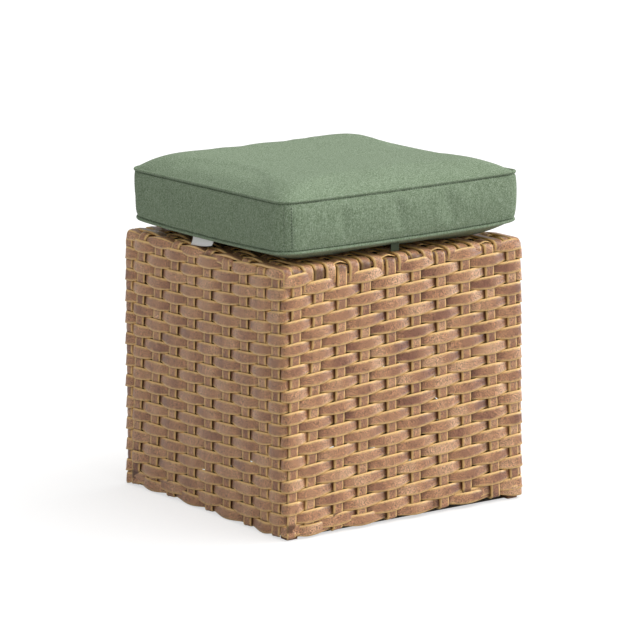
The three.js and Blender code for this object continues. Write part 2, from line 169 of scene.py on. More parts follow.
# Rows: they climb to the right, six rows in a full turn
ROW_PITCH = 16.15 * MM
ROWS_PER_TURN = 6
ROW_FIRST_HEIGHT = 369.4 * MM
ROW_CLIMB_SHARES = (0.155, 0.289, 0.278, 0.278)
ROW_FIRST = -1
ROW_LAST = 29
ROW_PIECES = 20
ROW_SAGS = (7.5 * MM, -2.5 * MM, 0, 0)
ROW_HALF = 9.6 * MM
ROW_MIDDLE = -3.7 * MM
ROW_CRIMP = 3.2 * MM
ROW_CREST_POWER = 1.4
ROW_TUCK = -4.9 * MM
ROW_TOP_LIMIT = 381 * MM
ROW_START = 9 * MM
ROW_START_RUN = 12 * MM
EDGE_ROW_RISE = 3.5 * MM
EDGE_ROW_LOWER_SHARE = 0.75
EDGE_ROW_STEP = 3 * MM
ROW_END_OVER = 8.5 * MM
ROW_STEPS = 10
ROW_PINCH_SHARES = (0.4, 0.12)
ROW_WAVER = 0.3 * MM
CREST_SPREAD = 0.1
COVERED_ROWS = {"front": 1, "rear": 4}

# Stakes: ten on each side from left to right, at the floor and at the deck; the rear is laid out
# as the front and the right is the left mirrored
SIDE_STAKES = 10
STAKE_COUNT = 4 * SIDE_STAKES
ROW_MARKS = range(-1, STAKE_COUNT + 1)
CROSSING_ROUNDS = 4
STAKE_HALF = 8.7 * MM
STAKE_MIDDLE = -3.3 * MM
STAKE_CRIMP = 0.6 * MM
STAKE_STEP = 2 * MM
STAKE_TAIL = 12 * MM
CORNER_TAIL = 2 * MM
CORNER_REACH = 180 * MM
FRONT_STAKE_SHARES = (
    (-0.951, -0.811, -0.575, -0.379, -0.125, 0.074, 0.316, 0.512, 0.757, 0.924),
    (-0.869, -0.69, -0.51, -0.314, -0.115, 0.092, 0.295, 0.502, 0.702, 0.89),
)
LEFT_STAKE_SHARES = (
    (-0.967, -0.882, -0.666, -0.45, -0.2, 0.029, 0.259, 0.519, 0.731, 0.867),
    (-0.942, -0.767, -0.545, -0.338, -0.132, 0.069, 0.305, 0.516, 0.732, 0.914),
)

# Deck: strands along Y at half the stake pitch, woven with the side stakes
DECK_STRANDS = 21
DECK_EDGE = 199 * MM
DECK_HALF = 9.2 * MM
DECK_MIDDLE = -4.6 * MM
DECK_CRIMP = 2.6 * MM
RIM_CUP = 2 * MM
WRAP_TUCK = 4 * MM
FILLER_END_LEVEL = -2.2

SIDE_NAMES = ("left", "front", "right", "rear")
OUTWARD = {
    "left": (-1, 0, 0),
    "front": (0, -1, 0),
    "right": (1, 0, 0),
    "rear": (0, 1, 0),
}
UP = np.array((0.0, 0.0, 1.0))

# The rear left corner stands out a little, more so at the floor
FLARE_TOP = 1.5 * MM
FLARE_FOOT = 6.5 * MM
FLARE_START_SHARE = 0.8


def flared(points):
    share = np.clip(0.5 + (points[:, 1] - points[:, 0]) / (4 * HALF), 0, 1)
    share = np.clip((share - FLARE_START_SHARE) / (1 - FLARE_START_SHARE), 0, 1)
    reach = FLARE_FOOT + (FLARE_TOP - FLARE_FOOT) * np.clip(points[:, 2] / DECK_TOP, 0, 1)
    return points + (reach * share)[:, None] * np.array((-1.0, 1.0, 0.0))


# Material helpers
def new_material(name):
    material = bpy.data.materials.new(name)
    material.use_nodes = True
    tree = material.node_tree
    return material, tree, tree.nodes["Principled BSDF"]


def srgb(red, green, blue):
    def linear(value):
        share = value / 255
        return share / 12.92 if share <= 0.04045 else ((share + 0.055) / 1.055) ** 2.4

    return (linear(red), linear(green), linear(blue), 1)


def feed(tree, value, socket):
    if isinstance(value, bpy.types.NodeSocket):
        tree.links.new(value, socket)
    else:
        socket.default_value = value


def add_math(tree, operation, *values):
    node = tree.nodes.new("ShaderNodeMath")
    node.operation = operation
    for value, socket in zip(values, node.inputs):
        feed(tree, value, socket)
    return node.outputs["Value"]


def add_mix(tree, factor, first, second, blend="MIX"):
    node = tree.nodes.new("ShaderNodeMix")
    node.data_type = "RGBA"
    node.blend_type = blend
    feed(tree, factor, node.inputs["Factor"])
    feed(tree, first, node.inputs[6])
    feed(tree, second, node.inputs[7])
    return node.outputs[2]


def add_ramp(tree, source, stops):
    ramp = tree.nodes.new("ShaderNodeValToRGB")
    elements = ramp.color_ramp.elements
    while len(elements) < len(stops):
        elements.new(0.5)
    for element, (place, colour) in zip(elements, stops):
        element.position = place
        element.color = colour if isinstance(colour, tuple) else (colour, colour, colour, 1)
    tree.links.new(source, ramp.inputs["Fac"])
    return ramp.outputs["Color"]


def object_place(tree, stretch=(1, 1, 1)):
    place = tree.nodes.new("ShaderNodeTexCoord").outputs["Object"]
    mapping = tree.nodes.new("ShaderNodeMapping")
    mapping.inputs["Scale"].default_value = stretch
    tree.links.new(place, mapping.inputs["Vector"])
    return mapping.outputs["Vector"]


def add_noise(tree, place, scale, detail, roughness):
    noise = tree.nodes.new("ShaderNodeTexNoise")
    noise.inputs["Scale"].default_value = scale
    noise.inputs["Detail"].default_value = detail
    noise.inputs["Roughness"].default_value = roughness
    tree.links.new(place, noise.inputs["Vector"])
    return noise.outputs["Fac"]


def line_noise(tree, place, scale):
    noise = tree.nodes.new("ShaderNodeTexNoise")
    noise.noise_dimensions = "1D"
    noise.inputs["Scale"].default_value = scale
    noise.inputs["Detail"].default_value = 1
    tree.links.new(place, noise.inputs["W"])
    return noise.outputs["Fac"]


def add_bump(tree, shader, height, strength, distance):
    bump = tree.nodes.new("ShaderNodeBump")
    bump.inputs["Strength"].default_value = strength
    bump.inputs["Distance"].default_value = distance
    tree.links.new(height, bump.inputs["Height"])
    tree.links.new(bump.outputs["Normal"], shader.inputs["Normal"])


def attribute_value(tree, name):
    node = tree.nodes.new("ShaderNodeAttribute")
    node.attribute_name = name
    return node.outputs["Fac"]


def add_sum(tree, first, *others):
    for value in others:
        first = add_math(tree, "ADD", first, value)
    return first


def centred(tree, value, weight):
    """A value from 0 to 1, made to run from half the weight below 0 to half above it."""
    return add_math(tree, "MULTIPLY_ADD", value, weight, -weight / 2)


# Resin strand: a mottled brown band with golden edges, and painted shade where it dips under another strand
# and along its very edges
PATCH_GRAIN = (130, 2, 0.6)
SPECKLE_GRAIN = (900, 1, 0.6)
PATCH_WEIGHT = 0.36
EDGE_WEIGHT = 0.3
BODY_STOPS = ((0.15, srgb(150, 104, 82)), (0.5, srgb(194, 143, 107)), (0.85, srgb(222, 176, 138)))
SPECKLE_STOPS = ((0.37, 0.3), (0.5, 1.06), (0.62, 1.5))
EDGE_STOPS = ((0.52, 0.0), (0.72, 0.45), (0.82, 1.0))
EDGE_COLOUR = srgb(255, 212, 142)
# Painted shade: a dark line at the strand's very edges, and the colour of the shade painted there and in the
# dips
EDGE_SHADE_STOPS = ((0.985, 0.0), (1.0, 0.5))
PAINTED_SHADE_COLOUR = srgb(70, 40, 24)
STRAND_ROUGHNESS = 0.3
STRAND_BUMP = (0.25, 0.3 * MM)


def strand_material():
    material, tree, shader = new_material("resin_strand")
    place = object_place(tree)
    across = add_math(tree, "ABSOLUTE", attribute_value(tree, "across"))
    banded = line_noise(tree, attribute_value(tree, "run"), 1)
    patch = add_noise(tree, place, *PATCH_GRAIN)
    speckle = add_noise(tree, place, *SPECKLE_GRAIN)
    body = add_sum(tree, banded, attribute_value(tree, "tone"), centred(tree, patch, PATCH_WEIGHT))
    colour = add_ramp(tree, body, BODY_STOPS)
    colour = add_mix(tree, 1.0, colour, add_ramp(tree, speckle, SPECKLE_STOPS), "MULTIPLY")
    edge = add_sum(tree, across, centred(tree, patch, EDGE_WEIGHT))
    colour = add_mix(tree, add_ramp(tree, edge, EDGE_STOPS), colour, EDGE_COLOUR)
    # Painted shade, darkest where the strand dips under another and along its very edges, where strands meet
    painted_shade = add_math(tree, "MAXIMUM", attribute_value(tree, "dip"), add_ramp(tree, across, EDGE_SHADE_STOPS))
    tree.links.new(add_mix(tree, painted_shade, colour, PAINTED_SHADE_COLOUR), shader.inputs["Base Color"])
    shader.inputs["Roughness"].default_value = STRAND_ROUGHNESS
    add_bump(tree, shader, speckle, *STRAND_BUMP)
    return material


# Skin of the base: a height that runs up the face and on over the rim and deck, and a place across
def low_edge(side, across):
    """Height where the strands of a side start to turn under."""
    return LOWER_BEND + MM * np.interp(across / HALF, LOW_EDGE_SHARES, LOW_EDGE_LIFTS[side])


def low_edge_along(along):
    places = np.asarray(along) % PERIMETER
    index = np.minimum((places / SIDE_SPAN).astype(int), 3)
    edges = [low_edge(side, places - (number + 0.5) * SIDE_SPAN) for number, side in enumerate(SIDE_NAMES)]
    return np.choose(index, edges)


def side_axes(side):
    """The side's outward direction, and the way to the right along it as seen from outside."""
    outward = np.array(OUTWARD[side], float)
    return outward, np.array((-outward[1], outward[0], 0.0))


def skin_points(side, across, height, depth, ring):
    outward, sideways = side_axes(side)
    core_across = np.clip(across, -CORE, CORE)
    turn = (across - core_across) / CORNER_BEND
    rise = np.clip((height - FACE_TOP) / CORNER_BEND, 0, math.pi / 2)
    face_low = low_edge(side, across)
    drop = np.clip((face_low - height) / LOWER_BEND, 0, math.pi / 2)
    inward = np.maximum(height - RIM_END, 0)
    inward = inward + np.maximum(face_low - LOWER_BEND * math.pi / 2 - height, 0)
    tilt = rise - drop
    facing = np.sin(turn)[..., None] * sideways + np.cos(turn)[..., None] * outward
    lifted = np.cos(tilt)[..., None] * facing + np.sin(tilt)[..., None] * UP
    if not ring:
        rolled = np.cos(tilt)[..., None] * outward + np.sin(tilt)[..., None] * UP
        rolled = np.sin(turn)[..., None] * sideways + np.cos(turn)[..., None] * rolled
        lifted = np.where((tilt > 0)[..., None], rolled, lifted)
    low = (height < face_low)[..., None]
    radius = np.where(height < face_low, LOWER_BEND, CORNER_BEND) + depth
    centre = core_across[..., None] * sideways + (CORE - inward)[..., None] * outward
    centre = centre + np.clip(height, face_low, FACE_TOP)[..., None] * UP
    centre = centre + np.where(low, (CORNER_BEND - LOWER_BEND) * facing, 0)
    return centre + radius[..., None] * lifted


def ring_points(along, height, depth):
    along = along % PERIMETER
    index = np.minimum((along / SIDE_SPAN).astype(int), 3)
    points = np.zeros(along.shape + (3,))
    for number, side in enumerate(SIDE_NAMES):
        chosen = index == number
        across = along[chosen] - (number + 0.5) * SIDE_SPAN
        points[chosen] = skin_points(side, across, height[chosen], depth[chosen], True)
    return points


# Places where rows and stakes cross
def row_climb(along):
    stops = np.concatenate(([0], np.cumsum(ROW_CLIMB_SHARES))) * ROWS_PER_TURN * ROW_PITCH
    turns = np.floor(along / PERIMETER)
    inside = np.interp(along - turns * PERIMETER, np.arange(5) * SIDE_SPAN, stops)
    return inside + turns * ROWS_PER_TURN * ROW_PITCH


def raw_row_height(row, along):
    straight = ROW_FIRST_HEIGHT - row * ROW_PITCH + row_climb(along)
    place = np.asarray(along) % PERIMETER / SIDE_SPAN
    number = np.minimum(place.astype(int), 3)
    share = place - number
    return straight - np.array(ROW_SAGS)[number] * 4 * share * (1 - share) * straight / DECK_TOP


def row_height(row, along):
    return np.minimum(raw_row_height(row, along), ROW_TOP_LIMIT)


def stake_across(side, index, height):
    if side == "right":
        return -stake_across("left", SIDE_STAKES - 1 - index, height)
    low, high = LEFT_STAKE_SHARES if side == "left" else FRONT_STAKE_SHARES
    return HALF * np.interp(height, (WEAVE_LOW, DECK_TOP), (low[index], high[index]))


def stake_along(stake, height):
    number = (stake // SIDE_STAKES) % 4
    turns = stake // STAKE_COUNT
    across = stake_across(SIDE_NAMES[number], stake % SIDE_STAKES, height)
    return (number + 0.5) * SIDE_SPAN + across + turns * PERIMETER


def crossing(row, stake):
    height = DECK_TOP / 2
    for _ in range(CROSSING_ROUNDS):
        along = stake_along(stake, height)
        height = float(row_height(row, along))
    return along, height


def row_is_covered(row, stake):
    side = SIDE_NAMES[(stake // SIDE_STAKES) % 4]
    if side not in COVERED_ROWS:
        return False
    if row == COVERED_ROWS[side]:
        return stake % SIDE_STAKES > 0
    return row < COVERED_ROWS[side]


def row_sign(row, stake):
    turns = stake // STAKE_COUNT
    plain_row = row - turns * ROWS_PER_TURN
    if row_is_covered(plain_row, stake % STAKE_COUNT):
        return -1
    return 1 if (plain_row + stake) % 2 else -1


def edge_row_sign(stake):
    """1 where the strand along the lower edge passes over a stake, else -1."""
    on_left = stake % STAKE_COUNT < SIDE_STAKES
    return 1 if (stake % 2 == 0) == on_left else -1


def edge_crossing(stake):
    along = stake_along(stake, WEAVE_LOW)
    return along, float(low_edge_along(along)) + EDGE_ROW_RISE


def wave(places, stops, levels):
    order = np.clip(np.searchsorted(stops, places) - 1, 0, len(stops) - 2)
    span = stops[order + 1] - stops[order]
    share = np.clip((places - stops[order]) / span, 0, 1)
    ease = (1 - np.cos(math.pi * share)) / 2
    return levels[order] + (levels[order + 1] - levels[order]) * ease


# Meshes and pieces
def add_object(name, data):
    thing = bpy.data.objects.new(name, data)
    bpy.context.scene.collection.objects.link(thing)
    return thing


def new_mesh(name, points, faces):
    mesh = bpy.data.meshes.new(name)
    mesh.from_pydata(points.tolist(), [], faces)
    return mesh


def mesh_values(items, key, width, kind=float):
    """One property of each vertex, corner or face of a mesh, a row for each."""
    values = np.empty(len(items) * width, kind)
    items.foreach_get(key, values)
    return values.reshape(-1, width)


def place_piece(name, mesh, material, body):
    mesh.shade_smooth()
    mesh.materials.append(material)
    piece = add_object(name, mesh)
    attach(piece, body)
    return piece


# Strands as meshes, with painted shade where they dip under another
DIP_SHADE = 0.72
ROW_DIPS = (-0.5, 0.3)
STAKE_DIPS = (0.6, 0.6)
BAND_LENGTH = 60 * MM
RUN_SHIFT = 57.3


def section():
    """Places across and heights of a strand's section: a crowned top with sharp edges, and a flat back."""
    crown = [STRAND_CROWN * (1 - share ** CROWN_POWER) for share in UPPER_SECTION_SHARES]
    upper = [(share, STRAND_THICKNESS / 2 + rise) for share, rise in zip(UPPER_SECTION_SHARES, crown)]
    upper[0] = (upper[0][0], 0)
    upper[-1] = (upper[-1][0], 0)
    under = [(share, -STRAND_THICKNESS / 2) for share in UNDER_SECTION_SHARES]
    return np.array(upper + under)


SECTION = section()


def strand_rows(length_steps):
    return np.repeat(SECTION[None, :, :], length_steps, 0)


def round_section(values):
    return np.repeat(values[:, None], len(SECTION), 1)


def dip_share(level, start, reach):
    """How much painted shade each station of a strand gets where it dips under another: none above start,
    most from reach below it.
    """
    return DIP_SHADE * np.clip((start - level) / reach, 0, 1)


def strand_faces(start, steps):
    """Quads round the section all along a strand, and a face at each end."""
    count = len(SECTION)
    rings = start + np.arange(steps - 1)[:, None] * count
    here = np.arange(count)[None, :]
    after = (here + 1) % count
    quads = np.stack((rings + here, rings + after, rings + count + after, rings + count + here), -1)
    ends = [start + corner for corner in reversed(range(count))]
    return quads.reshape(-1, 4).tolist() + [ends, [start + (steps - 1) * count + i for i in range(count)]]


def build_strands(name, strands, material):
    """One piece of several strands, each a grid of points, its painted shade in the dips and its tone."""
    points, faces = [], []
    layers = {"across": [], "tone": [], "run": [], "dip": []}
    count = len(SECTION)
    for number, (grid, dip, tone) in enumerate(strands):
        faces.extend(strand_faces(sum(len(part) for part in points), len(grid)))
        points.append(grid.reshape(-1, 3))
        middle = grid[:, len(UPPER_SECTION_SHARES) // 2]
        lengths = np.linalg.norm(np.diff(middle, axis=0), axis=1)
        run = np.concatenate(([0], np.cumsum(lengths))) / BAND_LENGTH
        layers["across"].append(np.tile(SECTION[:, 0], len(grid)))
        layers["tone"].append(np.full(len(grid) * count, tone))
        layers["run"].append(np.repeat(run + RUN_SHIFT * (number + abs(tone)), count))
        layers["dip"].append(np.repeat(dip, count))
    mesh = new_mesh(name, flared(np.concatenate(points)), faces)
    for key, values in layers.items():
        layer = mesh.attributes.new(key, "FLOAT", "POINT")
        layer.data.foreach_set("value", np.concatenate(values).astype(np.float32))
    place_piece(name, mesh, material, "base")


# Rows of the four sides
def ring_grid(along, height, depth, below, above):
    """A strand round the base, its lower and upper half widths being shares of a row's."""
    cut = strand_rows(len(along))
    half = ROW_HALF * np.where(cut[:, :, 0] < 0, below, above)
    heights = height[:, None] + half * cut[:, :, 0]
    return ring_points(round_section(along), heights, depth[:, None] + cut[:, :, 1])


def row_strand(row, random):
    stops = np.array([crossing(row, stake)[0] for stake in ROW_MARKS])
    levels = np.array([row_sign(row, stake) for stake in ROW_MARKS], float)
    stations = np.arange(0, (STAKE_COUNT + 1) * ROW_STEPS + 1) / ROW_STEPS - 1
    along = np.unique(np.clip(np.interp(stations, ROW_MARKS, stops), 0, PERIMETER))
    raw = raw_row_height(row, along)
    start = ROW_START + low_edge_along(along) - LOWER_BEND
    alive = (raw > start) & (raw < ROW_TOP_LIMIT + ROW_END_OVER)
    along, raw, start = along[alive], raw[alive], start[alive]
    if len(along) < 2 * ROW_STEPS:
        return None
    level = wave(along, stops, levels)
    waver = random.normal(0, 1, (2, STAKE_COUNT + 2))
    height = np.minimum(raw, ROW_TOP_LIMIT) + ROW_WAVER * np.interp(along, stops, waver[0])
    crest = 1 + CREST_SPREAD * np.interp(along, stops, waver[1])
    bowed = 1 - 2 * ((1 - level) / 2) ** ROW_CREST_POWER
    depth = ROW_MIDDLE + ROW_CRIMP * bowed * crest
    tucked = np.clip((raw - ROW_TOP_LIMIT) / ROW_END_OVER, 0, 1)
    tucked = np.maximum(tucked, np.clip(1 - (raw - start) / ROW_START_RUN, 0, 1))
    depth = depth + (ROW_TUCK - depth) * tucked
    below, above = (1 - share * (1 - level[:, None]) / 2 for share in ROW_PINCH_SHARES)
    return ring_grid(along, height, depth, below, above), dip_share(level, *ROW_DIPS)


def edge_row_strand():
    stops = np.array([edge_crossing(stake)[0] for stake in ROW_MARKS])
    levels = np.array([edge_row_sign(stake) for stake in ROW_MARKS], float)
    along = np.arange(0, PERIMETER + EDGE_ROW_STEP, EDGE_ROW_STEP)
    level = wave(along, stops, levels)
    height = low_edge_along(along) + EDGE_ROW_RISE
    grid = ring_grid(along, height, ROW_MIDDLE + ROW_CRIMP * level, EDGE_ROW_LOWER_SHARE, 1)
    return grid, dip_share(level, *ROW_DIPS), 0


def add_rows(material, random):
    groups = [[] for _ in range(ROW_PIECES)]
    for row in range(ROW_FIRST, ROW_LAST + 1):
        strand = row_strand(row, random)
        tone = random.uniform(-TONE_SPREAD, TONE_SPREAD)
        if strand is not None:
            groups[row % ROW_PIECES].append((*strand, tone))
    for number, group in enumerate(groups):
        build_strands(f"weave_row_{number:02d}", group, material)
    build_strands("weave_edge_row", [edge_row_strand()], material)


# Stakes: up one side, over the deck and down the opposite side
def face_crossings(stake):
    stops, levels = [], []
    for row in range(ROW_LAST, ROW_FIRST - 1, -1):
        along, height = crossing(row, stake)
        raw = float(raw_row_height(row, along))
        start = ROW_START + float(low_edge_along(along)) - LOWER_BEND
        if raw < start or raw > ROW_TOP_LIMIT + ROW_END_OVER / 2:
            continue
        if row_is_covered(row, stake):
            continue
        stops.append(height)
        levels.append(-row_sign(row, stake))
    return [edge_crossing(stake)[1]] + stops, [-edge_row_sign(stake)] + levels


def side_stake_y(index):
    return -float(stake_across("left", SIDE_STAKES - 1 - index, DECK_TOP))


def deck_strand_x(number, share):
    """Place of a deck strand from left to right: the stakes' own, or midway between two stakes."""
    if number in (0, DECK_STRANDS - 1):
        return DECK_EDGE if number else -DECK_EDGE
    if number % 2 == 0:
        return (deck_strand_x(number - 1, share) + deck_strand_x(number + 1, share)) / 2
    index = number // 2
    front = stake_across("front", index, DECK_TOP)
    rear = -stake_across("rear", SIDE_STAKES - 1 - index, DECK_TOP)
    return front + (rear - front) * share


def deck_sign(number, index):
    """1 where deck strand number passes over side stake index, else -1."""
    if index in (0, SIDE_STAKES - 1):
        return -1 if number % 4 == 1 and number > 1 else 1
    return 1 if (number + index) % 2 else -1


def front_deck_stops(number):
    stops = [RIM_END + CORE + side_stake_y(index) for index in range(SIDE_STAKES)]
    return stops, [deck_sign(number, index) for index in range(SIDE_STAKES)]


def side_deck_stops(index):
    share = (CORE + side_stake_y(index)) / (2 * CORE)
    stops = [RIM_END + CORE + deck_strand_x(number, share) for number in range(DECK_STRANDS)]
    return stops, [-deck_sign(number, index) for number in range(DECK_STRANDS)]


def deck_share(places):
    return np.clip((places - RIM_END) / (2 * CORE), 0, 1)


def loop_grid(sides, places, level, middle, deck_half):
    """A strand up one side, over the deck and down the opposite side, and its share on the deck."""
    first_half = places < LOOP_SPAN / 2
    height = np.where(first_half, places, LOOP_SPAN - places)
    on_deck = np.clip((height - FACE_TOP) / (RIM_END - FACE_TOP), 0, 1)
    depth = STAKE_MIDDLE + STAKE_CRIMP * level
    depth = depth + on_deck * (DECK_MIDDLE + DECK_CRIMP * level - depth)
    half = STAKE_HALF + on_deck * (deck_half - STAKE_HALF)
    cut = strand_rows(len(places))
    grid = np.zeros((len(places), len(SECTION), 3))
    for side, chosen, sense in zip(sides, (first_half, ~first_half), (1, -1)):
        across = sense * (middle[chosen, None] + half[chosen][:, None] * cut[chosen][:, :, 0])
        depths = depth[chosen][:, None] + cut[chosen][:, :, 1] - rim_cup(height[chosen], cut[chosen])
        grid[chosen] = skin_points(side, across, round_section(height[chosen]), depths, False)
    return grid, on_deck


def rim_cup(height, cut):
    """How far a strand's edges curl down where it turns over the rim."""
    near = np.exp(-((height - (FACE_TOP + RIM_END) / 2) / CORNER_BEND) ** 2)
    return RIM_CUP * near[:, None] * cut[:, :, 0] ** 2


def tail_length(side, index):
    across = float(stake_across(side, index, WEAVE_LOW))
    under = LOWER_BEND * math.pi / 2 - float(low_edge(side, across))
    return under + (STAKE_TAIL if abs(across) < CORNER_REACH else -CORNER_TAIL)


def loop_strand(sides, indexes, deck, deck_half):
    """A stake, with its tails turned in under the lower edge at both ends."""
    numbers = [SIDE_NAMES.index(side) * SIDE_STAKES + index for side, index in zip(sides, indexes)]
    first, second = (face_crossings(number) for number in numbers)
    stops = [*first[0], *deck[0], *(LOOP_SPAN - stop for stop in reversed(second[0]))]
    levels = [*first[1], *deck[1], *reversed(second[1])]
    tails = [tail_length(side, index) for side, index in zip(sides, indexes)]
    places = np.arange(-tails[0], LOOP_SPAN + tails[1], STAKE_STEP)
    level = wave(places, np.array(stops), np.array(levels, float))
    near = stake_across(sides[0], indexes[0], np.minimum(places, DECK_TOP))
    far = -stake_across(sides[1], indexes[1], np.minimum(LOOP_SPAN - places, DECK_TOP))
    middle = near + (far - near) * deck_share(places)
    grid, on_deck = loop_grid(sides, places, level, middle, deck_half)
    return grid, dip_share(level, *STAKE_DIPS) * (1 - on_deck)


def add_stakes(kind, material, random):
    groups = [[], []]
    for number in range(SIDE_STAKES):
        opposite = SIDE_STAKES - 1 - number
        if kind == "front":
            deck = front_deck_stops(2 * number + 1)
            strand = loop_strand(("front", "rear"), (number, opposite), deck, DECK_HALF)
        else:
            deck = side_deck_stops(number)
            strand = loop_strand(("left", "right"), (opposite, number), deck, STAKE_HALF)
        groups[number % 2].append((*strand, random.uniform(-TONE_SPREAD, TONE_SPREAD)))
    for number, group in enumerate(groups):
        build_strands(f"weave_{kind}_stakes_{number + 1}", group, material)


# Deck fillers: strands between the stakes, turned over the front and rear rims
def filler_end(side, across):
    """Height where a filler goes in under the first row that it doesn't cover."""
    along = (SIDE_NAMES.index(side) + 0.5) * SIDE_SPAN + across
    return float(row_height(COVERED_ROWS[side] + 1, along)) - WRAP_TUCK


def add_deck_fillers(material, random):
    strands = []
    for number in range(0, DECK_STRANDS, 2):
        front, rear = (deck_strand_x(number, share) for share in (0, 1))
        first, last = filler_end("front", front), LOOP_SPAN - filler_end("rear", -rear)
        stops, levels = front_deck_stops(number)
        stops = [first, FACE_TOP, *stops, LOOP_SPAN - FACE_TOP, last]
        levels = [FILLER_END_LEVEL, 1, *levels, 1, FILLER_END_LEVEL]
        places = np.arange(first, last, STAKE_STEP)
        level = wave(places, np.array(stops), np.array(levels, float))
        middle = front + (rear - front) * deck_share(places)
        grid, _ = loop_grid(("front", "rear"), places, level, middle, DECK_HALF)
        strands.append((grid, np.zeros(len(places)), random.uniform(-TONE_SPREAD, TONE_SPREAD)))
    build_strands("weave_deck_fillers", strands, material)


# Cushion form: a grid over each face, and rows round the boxing between them
def side_point(share, half, first_radius, last_radius, draw):
    first = first_radius * math.pi / 4
    last = last_radius * math.pi / 4
    straight = 2 * half - first_radius - last_radius
    run = share * (first + straight + last)
    if run < first:
        angle = FIRST_CORNER_ANGLE + run / first_radius
        centre = first_radius - half
        return centre + first_radius * math.cos(angle), centre + first_radius * math.sin(angle)
    if run > first + straight:
        angle = LAST_CORNER_ANGLE + (run - first - straight) / last_radius
        x = half - last_radius + last_radius * math.cos(angle)
        return x, last_radius - half + last_radius * math.sin(angle)
    place = 2 * (run - first) / straight - 1
    return first_radius - half + run - first, draw * (1 - place * place) - half


def outline_point(side, share, inset, draw, rise):
    """A point of the cushion's outline: sides front, right, rear and left, rise 0 at the lower seam."""
    corners = [low + (high - low) * rise for low, high in zip(LOWER_CORNERS, UPPER_CORNERS)]
    radii = [max(corners[(side + turn) % 4] - inset, LEAST_CORNER) for turn in (0, 1)]
    x, y = side_point(share, CUSHION_HALF - inset, radii[0], radii[1], draw)
    for _ in range(side):
        x, y = -y, x
    return x, y


def ring_place(column, row):
    """Ring, side and share along the side of a grid point."""
    last = CUSHION_STEPS
    ring = min(column, row, last - column, last - row)
    if 2 * ring == last:
        return ring, 0, 0.5
    span = last - 2 * ring
    if row == ring:
        return ring, 0, (column - ring) / span
    if column == last - ring:
        return ring, 1, (row - ring) / span
    if row == last - ring:
        return ring, 2, (last - ring - column) / span
    return ring, 3, (last - ring - row) / span


def face_point(column, row, seam, crown, power, rise):
    ring, side, share = ring_place(column, row)
    inset_share = min((2 * ring / CUSHION_STEPS) ** RING_POWER, 1)
    inset = inset_share * CUSHION_HALF
    if 2 * ring == CUSHION_STEPS:
        return 0, 0, seam + crown
    x, y = outline_point(side, share, inset, SEAM_DRAW * (1 - inset_share), rise)
    corner_power = TOP_CORNER_POWER if rise else BOTTOM_CORNER_POWER
    corner = [edge_rise(CUSHION_HALF - abs(value), corner_power) for value in (x, y)]
    height = min(edge_rise(inset, power), corner[0] * corner[1])
    if rise:
        lean = sum(slope * max(value, 0) / CUSHION_HALF for slope, value in zip(TOP_LEAN, (x, y)))
        return x, y, seam + (crown + lean) * height
    return x, y, seam + crown * height


def edge_rise(inset, power):
    return 1 - (1 - inset / CUSHION_HALF) ** power


def side_value(values, side, share):
    """The side's own value, shared half and half with its neighbour at each corner."""
    neighbour = values[(side + (1 if share > 0.5 else -1)) % 4]
    blend = max(abs(2 * share - 1) - CORNER_SHARE, 0) / (1 - CORNER_SHARE) / 2
    return values[side] * (1 - blend) + neighbour * blend


def level_height(level):
    middle = BOXING_STEPS // 2
    if level in TAPE_LEVELS:
        return (SEAM_LOW + SEAM_HIGH) / 2 + (level - middle) * TAPE_HALF
    if level < middle:
        return SEAM_LOW + ((SEAM_HIGH - SEAM_LOW) / 2 - TAPE_HALF) * level / (middle - 1)
    return SEAM_LOW + SEAM_HIGH - level_height(BOXING_STEPS - level)


def boxing_point(side, share, level):
    height = level_height(level)
    rise = (height - SEAM_LOW) / (SEAM_HIGH - SEAM_LOW)
    swell = (1 - (2 * rise - 1) ** 2) ** SWELL_POWER
    out = swell * side_value(SIDE_SWELLS, side, share)
    x, y = outline_point(side, share, -out, SEAM_DRAW * (1 - swell), rise)
    return x, y, height


def rim_column_row(side, step):
    last = CUSHION_STEPS
    return ((step, 0), (last, step), (last - step, last), (0, last - step))[side]


REGION_NAMES = (
    "cushion_top_panel",
    "cushion_bottom_panel",
    "cushion_boxing_front",
    "cushion_boxing_right",
    "cushion_boxing_rear_lower",
    "cushion_boxing_left",
    "cushion_boxing_rear_upper",
    "zip_tape",
)
FIRST_BOXING = REGION_NAMES.index("cushion_boxing_front")
REAR = 2
RIM_PLACES = [(side, step) for side in range(4) for step in range(CUSHION_STEPS)]


def boxing_region(side, level):
    if side == REAR and level in TAPE_LEVELS[:-1]:
        return REGION_NAMES.index("zip_tape")
    if side == REAR and level > TAPE_LEVELS[0]:
        return REGION_NAMES.index("cushion_boxing_rear_upper")
    return FIRST_BOXING + side


def panel_grid(points, face):
    """Adds a panel's points, and gives their numbers by column and row."""
    grid = {}
    for row in range(CUSHION_STEPS + 1):
        for column in range(CUSHION_STEPS + 1):
            grid[column, row] = len(points)
            points.append(face_point(column, row, *face))
    return grid


def panel_quads(grid, flip):
    quads = []
    for row in range(CUSHION_STEPS):
        for column in range(CUSHION_STEPS):
            places = ((column, row), (column + 1, row), (column + 1, row + 1), (column, row + 1))
            quad = [grid[place] for place in places]
            quads.append(quad[::-1] if flip else quad)
    return quads


def boxing_walls(points, grids):
    """Adds the boxing's points, and gives their numbers by side, step and level, with both seams'."""
    walls = {}
    for side, step in RIM_PLACES:
        place = rim_column_row(side, step)
        walls[side, step, 0] = grids[1][place]
        walls[side, step, BOXING_STEPS] = grids[0][place]
        for level in range(1, BOXING_STEPS):
            walls[side, step, level] = len(points)
            points.append(boxing_point(side, step / CUSHION_STEPS, level))
    return walls


def boxing_quads(walls):
    quads, regions = [], []
    for side, step in RIM_PLACES:
        after = (side, step + 1) if step + 1 < CUSHION_STEPS else ((side + 1) % 4, 0)
        for level in range(BOXING_STEPS):
            low = (walls[side, step, level], walls[(*after, level)])
            high = (walls[(*after, level + 1)], walls[side, step, level + 1])
            quads.append([*low, *high])
            regions.append(boxing_region(side, level))
    return quads, regions


